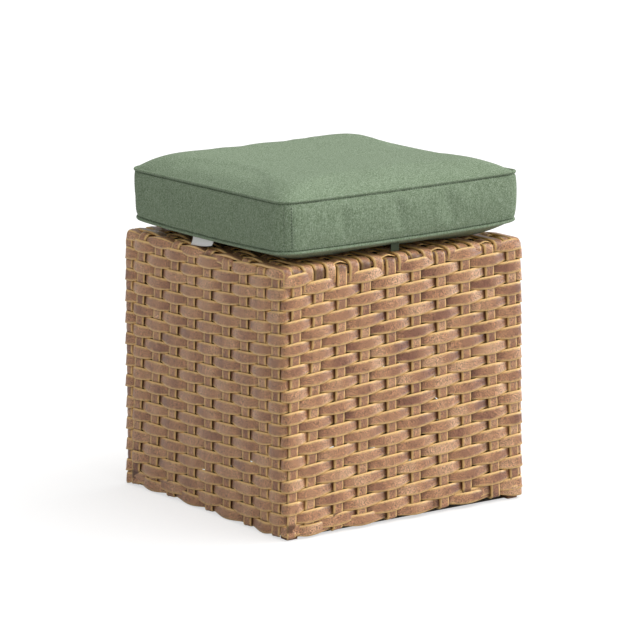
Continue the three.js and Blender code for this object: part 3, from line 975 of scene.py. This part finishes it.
def cushion_form():
    """Points, faces and each face's region of the closed cushion, and its seam, tape and corner points."""
    points, faces, regions = [], [], []
    upper = (SEAM_HIGH, CUSHION_TOP - SEAM_HIGH, TOP_POWER, 1)
    lower = (SEAM_LOW, CUSHION_BOTTOM - SEAM_LOW, BOTTOM_POWER, 0)
    grids = [panel_grid(points, face) for face in (upper, lower)]
    for region, grid in enumerate(grids):
        quads = panel_quads(grid, region == 1)
        faces += quads
        regions += [region] * len(quads)
    walls = boxing_walls(points, grids)
    quads, boxing_regions = boxing_quads(walls)
    seams = [[walls[side, step, level] for side, step in RIM_PLACES] for level in (0, BOXING_STEPS)]
    tape = [walls[REAR, step, level] for step in range(CUSHION_STEPS) for level in TAPE_LEVELS]
    levels = range(BOXING_STEPS + 1)
    corners = [[walls[side, CORNER_SEAM_STEP, level] for level in levels] for side in range(4)]
    return np.array(points), faces + quads, regions + boxing_regions, seams, tape, corners


# Cover swollen by the filling: cloth under pressure, held along both piped seams and the zip tape
def set_cloth(cloth, held):
    settings = cloth.settings
    settings.quality = SIM_QUALITY
    settings.tension_stiffness = SIM_STIFFNESS
    settings.compression_stiffness = SIM_STIFFNESS
    settings.bending_stiffness = SIM_BENDING
    settings.shrink_min = SIM_SHRINK
    settings.vertex_group_mass = held
    settings.use_pressure = True
    settings.uniform_pressure_force = SIM_PRESSURE
    settings.effector_weights.gravity = 0
    cloth.point_cache.frame_start = 1
    cloth.point_cache.frame_end = SIM_FRAMES


def swell_cover(points, faces, held):
    mesh = new_mesh("cover_trial", points, faces)
    trial = add_object("cover_trial", mesh)
    group = trial.vertex_groups.new(name="seams")
    group.add(held, 1, "REPLACE")
    set_cloth(trial.modifiers.new("cloth", "CLOTH"), group.name)
    for step in range(1, SIM_FRAMES + 1):
        bpy.context.scene.frame_set(step)
    evaluated = trial.evaluated_get(bpy.context.evaluated_depsgraph_get())
    move = mesh_values(evaluated.data.vertices, "co", 3) - points
    bpy.data.objects.remove(trial)
    bpy.data.meshes.remove(mesh)
    bpy.context.scene.frame_set(1)
    length = np.linalg.norm(move, axis=1, keepdims=True)
    return points + move * np.minimum(1, SIM_CAP / np.maximum(length, LEAST_MOVE))


def settle(points):
    """Flat where it rests on the deck, lower at its left corners, and drooping between its corners."""
    points = points.copy()
    lowest = CUSHION_BOTTOM
    under = points[:, 2] < lowest
    points[under, 2] = lowest
    lifted = np.clip((points[:, 2] - lowest) / (SEAM_LOW - lowest), 0, 1)
    rise = np.clip((points[:, 2] - SEAM_LOW) / (SEAM_HIGH - SEAM_LOW), 0, 1)
    shares = np.clip(0.5 + points[:, :2] / (2 * CUSHION_HALF), 0, 1)
    front, rear = (low + (high - low) * shares[:, 0] for low, high in CORNER_LIFTS)
    points[:, 2] += (front + (rear - front) * shares[:, 1]) * lifted
    near = (np.abs(points[:, 0] * points[:, 1]) / CUSHION_HALF ** 2) ** CORNER_RISE_POWER
    turned = np.where(points[:, 1] < 0, *(np.where(points[:, 0] < 0, *pair) for pair in CORNER_RISES))
    points[:, 2] += turned * near * lifted * (1 - rise)
    sides = (OUTWARD[name] for name in ("front", "right", "rear", "left"))
    for low_droop, high_droop, (x, y, _) in zip(LOWER_DROOPS, UPPER_DROOPS, sides):
        near = np.clip((points[:, 0] * x + points[:, 1] * y) / CUSHION_HALF, 0, 1) ** DROOP_POWER
        along = np.abs(points[:, 0] * y + points[:, 1] * x) / CUSHION_HALF
        droop = low_droop * (1 - rise) ** 2 + high_droop * rise ** 2
        points[:, 2] -= droop * near * np.clip(1 - along ** 2, 0, 1) * lifted
    return points


def draw_seams(co, normals, quads, labels, corners):
    """Creases beside the pipings and at the boxing's corner seams, with small gathers along them."""
    outer = np.maximum(np.abs(co[:, 0]), np.abs(co[:, 1]))
    edge = np.maximum(CUSHION_HALF - outer, 0)
    along = np.where(np.abs(co[:, 0]) > np.abs(co[:, 1]), co[:, 1], co[:, 0])
    gather = 1 + np.sin(along / GATHER_RUN + 2 * np.sin(along / GATHER_DRIFT))
    inward = np.zeros(len(co))
    for seam in (SEAM_LOW, SEAM_HIGH):
        away = np.hypot(co[:, 2] - seam, edge)
        inward += CREASE_DEPTH * np.exp(-((away - CREASE_PLACE) / CREASE_HALF) ** 2)
        fade = np.exp(-((away - GATHER_REACH) / GATHER_REACH) ** 2)
        inward += GATHER_DEPTH / 2 * gather * fade * (away > GATHER_START)
    boxing = np.zeros(len(co), bool)
    boxing[np.unique(quads[labels >= FIRST_BOXING])] = True
    for seam in corners:
        away = np.linalg.norm((co - seam[len(seam) // 2])[:, :2], axis=1)
        inward += boxing * CREASE_DEPTH * np.exp(-(away / CREASE_HALF) ** 2)
    return co - inward[:, None] * normals


def subdivided(points, faces, regions):
    """The cover's points, normals, quads and each quad's region after one subdivision."""
    mesh = new_mesh("cover_fine", points, faces)
    mesh.polygons.foreach_set("material_index", regions)
    marks = [bpy.data.materials.new(name) for name in REGION_NAMES]
    for mark in marks:
        mesh.materials.append(mark)
    piece = add_object("cover_fine", mesh)
    modifier = piece.modifiers.new("fine", "SUBSURF")
    modifier.levels = 1
    modifier.render_levels = 1
    fine = bpy.data.meshes.new_from_object(piece.evaluated_get(bpy.context.evaluated_depsgraph_get()))
    bpy.data.objects.remove(piece)
    co, normals = (mesh_values(fine.vertices, key, 3) for key in ("co", "normal"))
    quads = mesh_values(fine.loops, "vertex_index", 1, int).reshape(-1, 4)
    labels = mesh_values(fine.polygons, "material_index", 1, int).ravel()
    bpy.data.meshes.remove(fine)
    for mark in marks:
        bpy.data.materials.remove(mark)
    return co, normals, quads, labels


def shell_piece(name, co, normals, quads, material):
    """A closed shell of one region of the cover, with its cut edges turned in."""
    used, local = np.unique(quads, return_inverse=True)
    local = local.reshape(-1, 4).tolist()
    count = len(used)
    outer = co[used]
    inner = outer - normals[used] * COVER_THICKNESS
    edges = [edge for quad in local for edge in zip(quad, quad[1:] + quad[:1])]
    known = set(edges)
    rim = [(start, end) for start, end in edges if (end, start) not in known]
    faces = local + [[corner + count for corner in reversed(quad)] for quad in local]
    faces += [[end, start, start + count, end + count] for start, end in rim]
    mesh = new_mesh(name, np.concatenate((outer, inner)), faces)
    return place_piece(name, mesh, material, "cushion")


# Piping: a tube along each seam, pinched where its ends join
def unit(vectors):
    return vectors / np.linalg.norm(vectors, axis=1, keepdims=True)


def smoothed(loop):
    return (np.roll(loop, 1, 0) + 2 * loop + np.roll(loop, -1, 0)) / 4


def ways(loop):
    """The way ahead and the way out at each point of a closed loop."""
    ahead = np.roll(loop, -1, 0) - np.roll(loop, 1, 0)
    return ahead, unit(np.cross(ahead, UP))


def seam_loop(points, seam):
    loop = points[seam]
    spans = np.linspace(0, len(loop), 2 * len(loop), endpoint=False)
    closed = np.vstack((loop, loop[:1]))
    fine = np.stack([np.interp(spans, np.arange(len(closed)), closed[:, axis]) for axis in range(3)], 1)
    smooth = smoothed(fine)
    return smooth + PIPING_OUT * ways(smooth)[1]


def piping_piece(name, centres, join, material):
    count = len(centres)
    ahead = unit(ways(centres)[0])
    outward = unit(np.cross(ahead, UP))
    lift = np.cross(outward, ahead)
    angles = np.arange(PIPING_SIDES) * 2 * math.pi / PIPING_SIDES
    ring = outward[:, None] * np.cos(angles)[None, :, None] + lift[:, None] * np.sin(angles)[None, :, None]
    joined = np.exp(-(np.linalg.norm((centres - join)[:, :2], axis=1) / JOIN_HALF) ** 2)
    radii = PIPING_RADIUS * (1 - JOIN_PINCH_SHARE * joined)
    points = (centres[:, None] + radii[:, None, None] * ring).reshape(-1, 3)
    here = np.arange(count)[:, None] * PIPING_SIDES
    after = (np.arange(count)[:, None] + 1) % count * PIPING_SIDES
    step = np.arange(PIPING_SIDES)[None, :]
    turned = (step + 1) % PIPING_SIDES
    quads = np.stack((here + step, here + turned, after + turned, after + step), -1).reshape(-1, 4)
    return place_piece(name, new_mesh(name, points, quads.tolist()), material, "cushion")


def foam_piece(points, faces, material):
    mesh = new_mesh("cushion_core", points, faces)
    inner = points - FOAM_INSET * mesh_values(mesh.vertices, "normal", 3)
    mesh.vertices.foreach_set("co", inner.ravel())
    return place_piece("cushion_core", mesh, material, "cushion")


def add_cushion(fabric, foam, tape_look, thread):
    points, faces, regions, seams, tape, corners = cushion_form()
    points = swell_cover(points, faces, seams[0] + seams[1] + tape)
    points = settle(points)
    co, normals, quads, labels = subdivided(points, faces, regions)
    co = draw_seams(co, normals, quads, labels, [points[corner] for corner in corners])
    for number, name in enumerate(REGION_NAMES):
        look = tape_look if name == "zip_tape" else fabric
        piece = shell_piece(name + "_cover", co, normals, quads[labels == number], look)
        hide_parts(name)
    core = foam_piece(points, faces, foam)
    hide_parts("cushion_foam")
    for seam, name in zip(seams, ("cushion_bottom_piping", "cushion_top_piping")):
        piece = piping_piece(name + "_cord", seam_loop(points, seam), points[corners[0][0]], fabric)
        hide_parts(name)
    add_stitches(points, co, normals, seams, tape, corners, thread)


# Threads and teeth: short rounded bars laid along a path
BAR_SIDES = 6
BAR_RING_SHARES = ((-1, 0.35), (-0.7, 1), (0.7, 1), (1, 0.35))
STEEP_SHARE = 0.7
STITCH_RADIUS = 0.45 * MM
STITCH_HALF = 1.5 * MM
STITCH_PITCH = 4.2 * MM
STITCH_DROP = 2.9 * MM
STITCH_OUT = 0.15 * MM
TOPSTITCH_GAP = 2 * MM
TOOTH_RADIUS = 0.5 * MM
TOOTH_HALF = 1.4 * MM
TOOTH_PITCH = 0.85 * MM
TOOTH_SHIFT = 0.65 * MM


def spaced(path, pitch, closed=False):
    """Points and directions along a path, one pitch apart."""
    if closed:
        path = np.vstack((path, path[:1]))
    steps = np.linalg.norm(np.diff(path, axis=0), axis=1)
    run = np.concatenate(([0], np.cumsum(steps)))
    places = np.arange(pitch / 2, run[-1], pitch)

    def at(where):
        return np.stack([np.interp(where, run, path[:, axis]) for axis in range(3)], 1)

    return at(places), unit(at(places + pitch / 4) - at(places - pitch / 4))


def bars(centres, directions, half, radius):
    """Points and faces of rounded bars, one at each centre."""
    points, faces = [], []
    for centre, ahead in zip(centres, directions):
        side = np.cross(ahead, UP if abs(ahead[2]) < STEEP_SHARE else (1.0, 0.0, 0.0))
        side = side / np.linalg.norm(side)
        lift = np.cross(side, ahead)
        start = len(points)
        last = start + (len(BAR_RING_SHARES) - 1) * BAR_SIDES
        for place, share in BAR_RING_SHARES:
            for number in range(BAR_SIDES):
                angle = number * 2 * math.pi / BAR_SIDES
                reach = radius * share * (math.cos(angle) * side + math.sin(angle) * lift)
                points.append(centre + half * place * ahead + reach)
        for ring in range(start, last, BAR_SIDES):
            for number in range(BAR_SIDES):
                here = ring + number
                after = ring + (number + 1) % BAR_SIDES
                faces.append((here, after, after + BAR_SIDES, here + BAR_SIDES))
        faces.append(tuple(start + number for number in reversed(range(BAR_SIDES))))
        faces.append(tuple(last + number for number in range(BAR_SIDES)))
    return points, faces


def bars_piece(name, groups, material):
    """One piece of several groups of bars."""
    points, faces = [], []
    for group_points, group_faces in groups:
        start = len(points)
        points.extend(group_points)
        faces.extend(tuple(start + corner for corner in face) for face in group_faces)
    return place_piece(name, new_mesh(name, np.array(points), faces), material, "cushion")


def on_cover(path, co, normals):
    """The path laid on the nearest points of the cover."""
    nearest = [int(np.argmin(((co - point) ** 2).sum(1))) for point in path]
    return co[nearest] + STITCH_OUT * normals[nearest]


def add_stitches(points, co, normals, seams, tape, corners, material):
    """Stitches beside both pipings, down the corner seams and beside the zip."""
    groups = []
    for seam, drop in zip(seams, (STITCH_DROP, -STITCH_DROP)):
        path = smoothed(on_cover(points[seam] + drop * UP, co, normals))
        groups.append(bars(*spaced(path, STITCH_PITCH, True), STITCH_HALF, STITCH_RADIUS))
    line = points[tape].reshape(-1, len(TAPE_LEVELS), 3)[1:-1]
    paths = [points[corner[1:-1]] for corner in corners]
    paths += [line[:, level] + sense * TOPSTITCH_GAP * UP for level, sense in ((0, -1), (-1, 1))]
    for path in paths:
        groups.append(bars(*spaced(on_cover(path, co, normals), STITCH_PITCH), STITCH_HALF, STITCH_RADIUS))
    bars_piece("cushion_stitches", groups, material)


def add_zip_teeth(material):
    low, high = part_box("zip_chain")
    centres = []
    for number in range(int((high.x - low.x) / TOOTH_PITCH)):
        shift = TOOTH_SHIFT if number % 2 else -TOOTH_SHIFT
        x = low.x + (number + 0.5) * TOOTH_PITCH
        centres.append(np.array((x, (low.y + high.y) / 2, (low.z + high.z) / 2 + shift)))
    teeth = bars(centres, [UP] * len(centres), TOOTH_HALF, TOOTH_RADIUS)
    piece = bars_piece("zip_teeth", [teeth], material)
    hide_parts("zip_chain")


# Tag and straps: strips of cloth sewn in under the bottom seam
STRIP_COLUMNS = 16
TAG_ROWS = 8
STRAP_ROWS = 16
STRIP_THICKNESS = 0.5 * MM
TAG_CURL = 5 * MM
TAG_TAPER = 6 * MM
TAG_WAVE = 0.5 * MM
TAG_WAVE_TURN = 5
STRAP_TURN = 6 * MM
STRAP_BOW = 0.3 * MM
STRAP_BOW_TURN = 3
STRAP_LEAN_SHARE = 0.7


def strip_piece(name, outer, inward, material):
    """A thin closed strip: a grid of points and a second one just inside it."""
    rows, columns = outer.shape[:2]
    points = np.concatenate((outer.reshape(-1, 3), (outer + STRIP_THICKNESS * inward).reshape(-1, 3)))
    count = rows * columns
    faces = []
    for row in range(rows - 1):
        for column in range(columns - 1):
            here = row * columns + column
            quad = (here, here + 1, here + columns + 1, here + columns)
            faces.append(quad)
            faces.append(tuple(corner + count for corner in reversed(quad)))
    rim = list(range(columns))
    rim += [row * columns + columns - 1 for row in range(1, rows)]
    rim += [(rows - 1) * columns + column for column in reversed(range(columns - 1))]
    rim += [row * columns for row in reversed(range(1, rows - 1))]
    for here, after in zip(rim, rim[1:] + rim[:1]):
        faces.append((after, here, here + count, after + count))
    return place_piece(name, new_mesh(name, points, faces), material, "cushion")


def add_tag(material):
    """Hangs from the left seam, curls out over the rim and is shorter towards the front."""
    low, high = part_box("care_tag")
    places = [np.linspace(0, 1, steps + 1) for steps in (STRIP_COLUMNS, TAG_ROWS)]
    across, down = np.meshgrid(*places)
    bottom = low.z + TAG_TAPER * across ** 2
    x = high.x - TAG_CURL * down ** 2 + TAG_WAVE * np.sin(TAG_WAVE_TURN * across) * down
    y = high.y - (high.y - low.y) * across
    z = high.z + (bottom - high.z) * down
    piece = strip_piece("care_tag_cloth", np.stack((x, y, z), -1), np.array((1.0, 0, 0)), material)
    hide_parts("care_tag")


def add_strap(side, material):
    """Comes down from the bottom panel and turns in along the deck."""
    name = "cushion_strap_" + side
    low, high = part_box(name)
    middle = (low + high) / 2
    outward, sideways = side_axes(side)
    width = abs((high - low).dot(Vector(sideways)))
    drop = high.z - low.z
    columns = np.linspace(-0.5, 0.5, STRIP_COLUMNS + 1)
    across, run = np.meshgrid(columns, np.linspace(0, 1, STRAP_ROWS + 1))
    length = run * (drop + STRAP_TURN)
    down = np.minimum(length, drop)
    inward = np.maximum(length - drop, 0)
    place = np.array(middle) * (1, 1, 0) + width * across[..., None] * sideways - inward[..., None] * outward
    place[..., 2] = high.z - down + STRAP_BOW * np.cos(STRAP_BOW_TURN * across)
    away = -outward * STRAP_LEAN_SHARE + UP * STRAP_LEAN_SHARE
    piece = strip_piece(name + "_cloth", place, away, material)
    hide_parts(name)


# Fabric: heathered sage yarns, upright on the boxing, as stretch, scale and weight of each
YARNS = (
    ((1, 1, 0.25), 1450, 0.5),
    ((0.35, 0.35, 1), 1450, 0.38),
    ((1, 1, 0.06), 500, 0.12),
)
YARN_DETAIL = (1, 0.6)
BROAD_GRAIN = (22, 2, 0.5)
BROAD_WEIGHT = 0.15
FABRIC_STOPS = ((0.38, srgb(98, 118, 88)), (0.5, srgb(136, 154, 126)), (0.62, srgb(172, 188, 164)))
FABRIC_BROAD_STOPS = ((0.3, 0.88), (0.7, 1.0))
FABRIC_SURFACE = {
    "Roughness": 0.92,
    "Specular IOR Level": 0.15,
    "Sheen Weight": 0.05,
    "Sheen Roughness": 0.6,
}
FABRIC_BUMP = (0.35, 0.4 * MM)


def fabric_material():
    material, tree, shader = new_material("sage_fabric")
    yarns = []
    for stretch, scale, weight in YARNS:
        yarn = add_noise(tree, object_place(tree, stretch), scale, *YARN_DETAIL)
        yarns.append(add_math(tree, "MULTIPLY", yarn, weight))
    mixed = add_sum(tree, *yarns)
    broad = add_noise(tree, object_place(tree), *BROAD_GRAIN)
    colour = add_ramp(tree, mixed, FABRIC_STOPS)
    colour = add_mix(tree, BROAD_WEIGHT, colour, add_ramp(tree, broad, FABRIC_BROAD_STOPS), "MULTIPLY")
    tree.links.new(colour, shader.inputs["Base Color"])
    for key, value in FABRIC_SURFACE.items():
        shader.inputs[key].default_value = value
    add_bump(tree, shader, mixed, *FABRIC_BUMP)
    return material


# Plain finishes: colour, roughness, metallic, scale and depth of the grain's shade, and strength of its bump
FINISHES = {
    "zip_green": (srgb(79, 94, 72), 0.7, 0, 600, 0.12, 0.1),
    "strap_green": (srgb(80, 94, 72), 0.8, 0, 900, 0.3, 0.3),
    "thread": (srgb(66, 80, 60), 0.8, 0, 600, 0.12, 0.1),
    "foam": (srgb(233, 226, 207), 0.9, 0, 600, 0.12, 0.1),
    "zip_teeth": (srgb(62, 76, 58), 0.45, 0, 600, 0.12, 0.1),
    "tag_white": (srgb(250, 250, 248), 0.8, 0, 900, 0.05, 0.1),
    "powder_coat": (srgb(62, 48, 40), 0.5, 0, 900, 0.2, 0.3),
    "glide_plastic": (srgb(150, 108, 80), 0.6, 0, 600, 0.12, 0.1),
    "zip_metal": (srgb(140, 140, 136), 0.35, 0.9, 600, 0.12, 0.1),
}
NODE_FINISHES = {
    "powder_coat": ("frame_",),
    "glide_plastic": ("foot_glide",),
    "zip_metal": ("zip_slider", "zip_pull"),
}
GRAIN_DETAIL = (3, 0.6)
GRAIN_PLACES = (0.3, 0.7)
GRAIN_DEPTH = 0.2 * MM


def plain_material(name):
    colour, roughness, metallic, grain, spread, bump = FINISHES[name]
    material, tree, shader = new_material(name)
    fine = add_noise(tree, object_place(tree), grain, *GRAIN_DETAIL)
    shade = add_ramp(tree, fine, tuple(zip(GRAIN_PLACES, (1 - spread, 1.0))))
    tree.links.new(add_mix(tree, 1.0, colour, shade, "MULTIPLY"), shader.inputs["Base Color"])
    shader.inputs["Roughness"].default_value = roughness
    shader.inputs["Metallic"].default_value = metallic
    add_bump(tree, shader, fine, bump, GRAIN_DEPTH)
    return material


def dress_nodes(prefixes, material):
    for name in frame["nodes"]:
        if name.startswith(prefixes):
            mesh = bpy.data.objects[name].data
            mesh.materials.clear()
            mesh.materials.append(material)


# Stage: floor, light and camera
FLOOR_REACH = 12
FLOOR_SHADE = 0.5
FLOOR_ROUGHNESS = 0.9
FLOOR_GLOW = 0.63
GLOSSY_SHARE = 0.3
DARK_INSET = 16 * MM
WORLD_LIGHT = 0.42
LIGHTS = {
    "key": (1.8, math.radians(60), Vector((0.3, -0.3, 0.9))),
    "side": (1.5, math.radians(40), Vector((0.9, -0.4, 0.15))),
}


def floor_glow(tree):
    """Glow that the camera sees, left out under the base but for a strip at its front and left walls."""
    rays = tree.nodes.new("ShaderNodeLightPath")
    mirrored = add_math(tree, "MULTIPLY", rays.outputs["Is Glossy Ray"], GLOSSY_SHARE)
    seen = add_math(tree, "MAXIMUM", rays.outputs["Is Camera Ray"], mirrored)
    place = tree.nodes.new("ShaderNodeSeparateXYZ")
    tree.links.new(tree.nodes.new("ShaderNodeTexCoord").outputs["Object"], place.inputs["Vector"])
    shifted = [add_math(tree, "SUBTRACT", place.outputs[axis], DARK_INSET / 2) for axis in ("X", "Y")]
    reaches = [add_math(tree, "ABSOLUTE", value) for value in shifted]
    outside = add_math(tree, "GREATER_THAN", add_math(tree, "MAXIMUM", *reaches), HALF - DARK_INSET / 2)
    seen = add_math(tree, "MULTIPLY", seen, outside)
    glow = tree.nodes.new("ShaderNodeEmission")
    tree.links.new(add_math(tree, "MULTIPLY", seen, FLOOR_GLOW), glow.inputs["Strength"])
    return glow.outputs["Emission"]


def add_stage():
    corners = np.array(((-1, -1, 0), (1, -1, 0), (1, 1, 0), (-1, 1, 0)), float)
    mesh = new_mesh("floor", FLOOR_REACH * corners, [(0, 1, 2, 3)])
    add_object("floor", mesh)
    material, tree, shader = new_material("studio_floor")
    shader.inputs["Base Color"].default_value = (FLOOR_SHADE, FLOOR_SHADE, FLOOR_SHADE, 1)
    shader.inputs["Roughness"].default_value = FLOOR_ROUGHNESS
    shader.inputs["Specular IOR Level"].default_value = 0
    both = tree.nodes.new("ShaderNodeAddShader")
    tree.links.new(shader.outputs["BSDF"], both.inputs[0])
    tree.links.new(floor_glow(tree), both.inputs[1])
    tree.links.new(both.outputs["Shader"], tree.nodes["Material Output"].inputs["Surface"])
    mesh.materials.append(material)


def add_world():
    world = bpy.data.worlds.new("studio")
    world.use_nodes = True
    tree = world.node_tree
    background = tree.nodes["Background"]
    rays = tree.nodes.new("ShaderNodeLightPath")
    seen = add_math(tree, "MAXIMUM", rays.outputs["Is Camera Ray"], rays.outputs["Is Transmission Ray"])
    strength = add_math(tree, "MULTIPLY_ADD", seen, 1 - WORLD_LIGHT, WORLD_LIGHT)
    tree.links.new(strength, background.inputs["Strength"])
    background.inputs["Color"].default_value = (1, 1, 1, 1)
    bpy.context.scene.world = world


def add_light(name, strength, angle, direction):
    light = bpy.data.lights.new(name, "SUN")
    light.energy = strength
    light.angle = angle
    lamp = add_object(name, light)
    lamp.rotation_euler = direction.to_track_quat("Z", "Y").to_euler()


def add_camera():
    back = Vector((
        math.sin(CAMERA_AZIMUTH) * math.cos(CAMERA_ELEVATION),
        -math.cos(CAMERA_AZIMUTH) * math.cos(CAMERA_ELEVATION),
        math.sin(CAMERA_ELEVATION),
    ))
    right = Vector((math.cos(CAMERA_AZIMUTH), math.sin(CAMERA_AZIMUTH), 0))
    up = back.cross(right)
    turned_right = right * math.cos(CAMERA_ROLL) + up * math.sin(CAMERA_ROLL)
    turned_up = up * math.cos(CAMERA_ROLL) - right * math.sin(CAMERA_ROLL)
    data = bpy.data.cameras.new("camera")
    data.sensor_width = SENSOR_WIDTH
    data.lens = CAMERA_LENS
    camera = add_object("camera", data)
    turn = Matrix((turned_right, turned_up, back)).transposed().to_4x4()
    camera.matrix_world = Matrix.Translation(CAMERA_AIM + back * CAMERA_DISTANCE) @ turn
    bpy.context.scene.camera = camera


def add_weave():
    random = np.random.default_rng(SEED)
    look = strand_material()
    add_rows(look, random)
    add_stakes("front", look, random)
    add_stakes("side", look, random)
    add_deck_fillers(look, random)
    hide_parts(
        "wicker_front", "wicker_right", "wicker_rear", "wicker_left", "wicker_deck",
    )


bpy.context.scene.view_settings.view_transform = "Standard"
add_camera()
add_stage()
add_world()
for name, values in LIGHTS.items():
    add_light(name, *values)
add_weave()
cushion_looks = [plain_material(name) for name in ("foam", "zip_green", "thread")]
add_cushion(fabric_material(), *cushion_looks)
add_zip_teeth(plain_material("zip_teeth"))
add_tag(plain_material("tag_white"))
strap_look = plain_material("strap_green")
for side in ("front", "left"):
    add_strap(side, strap_look)
for name, prefixes in NODE_FINISHES.items():
    dress_nodes(prefixes, plain_material(name))
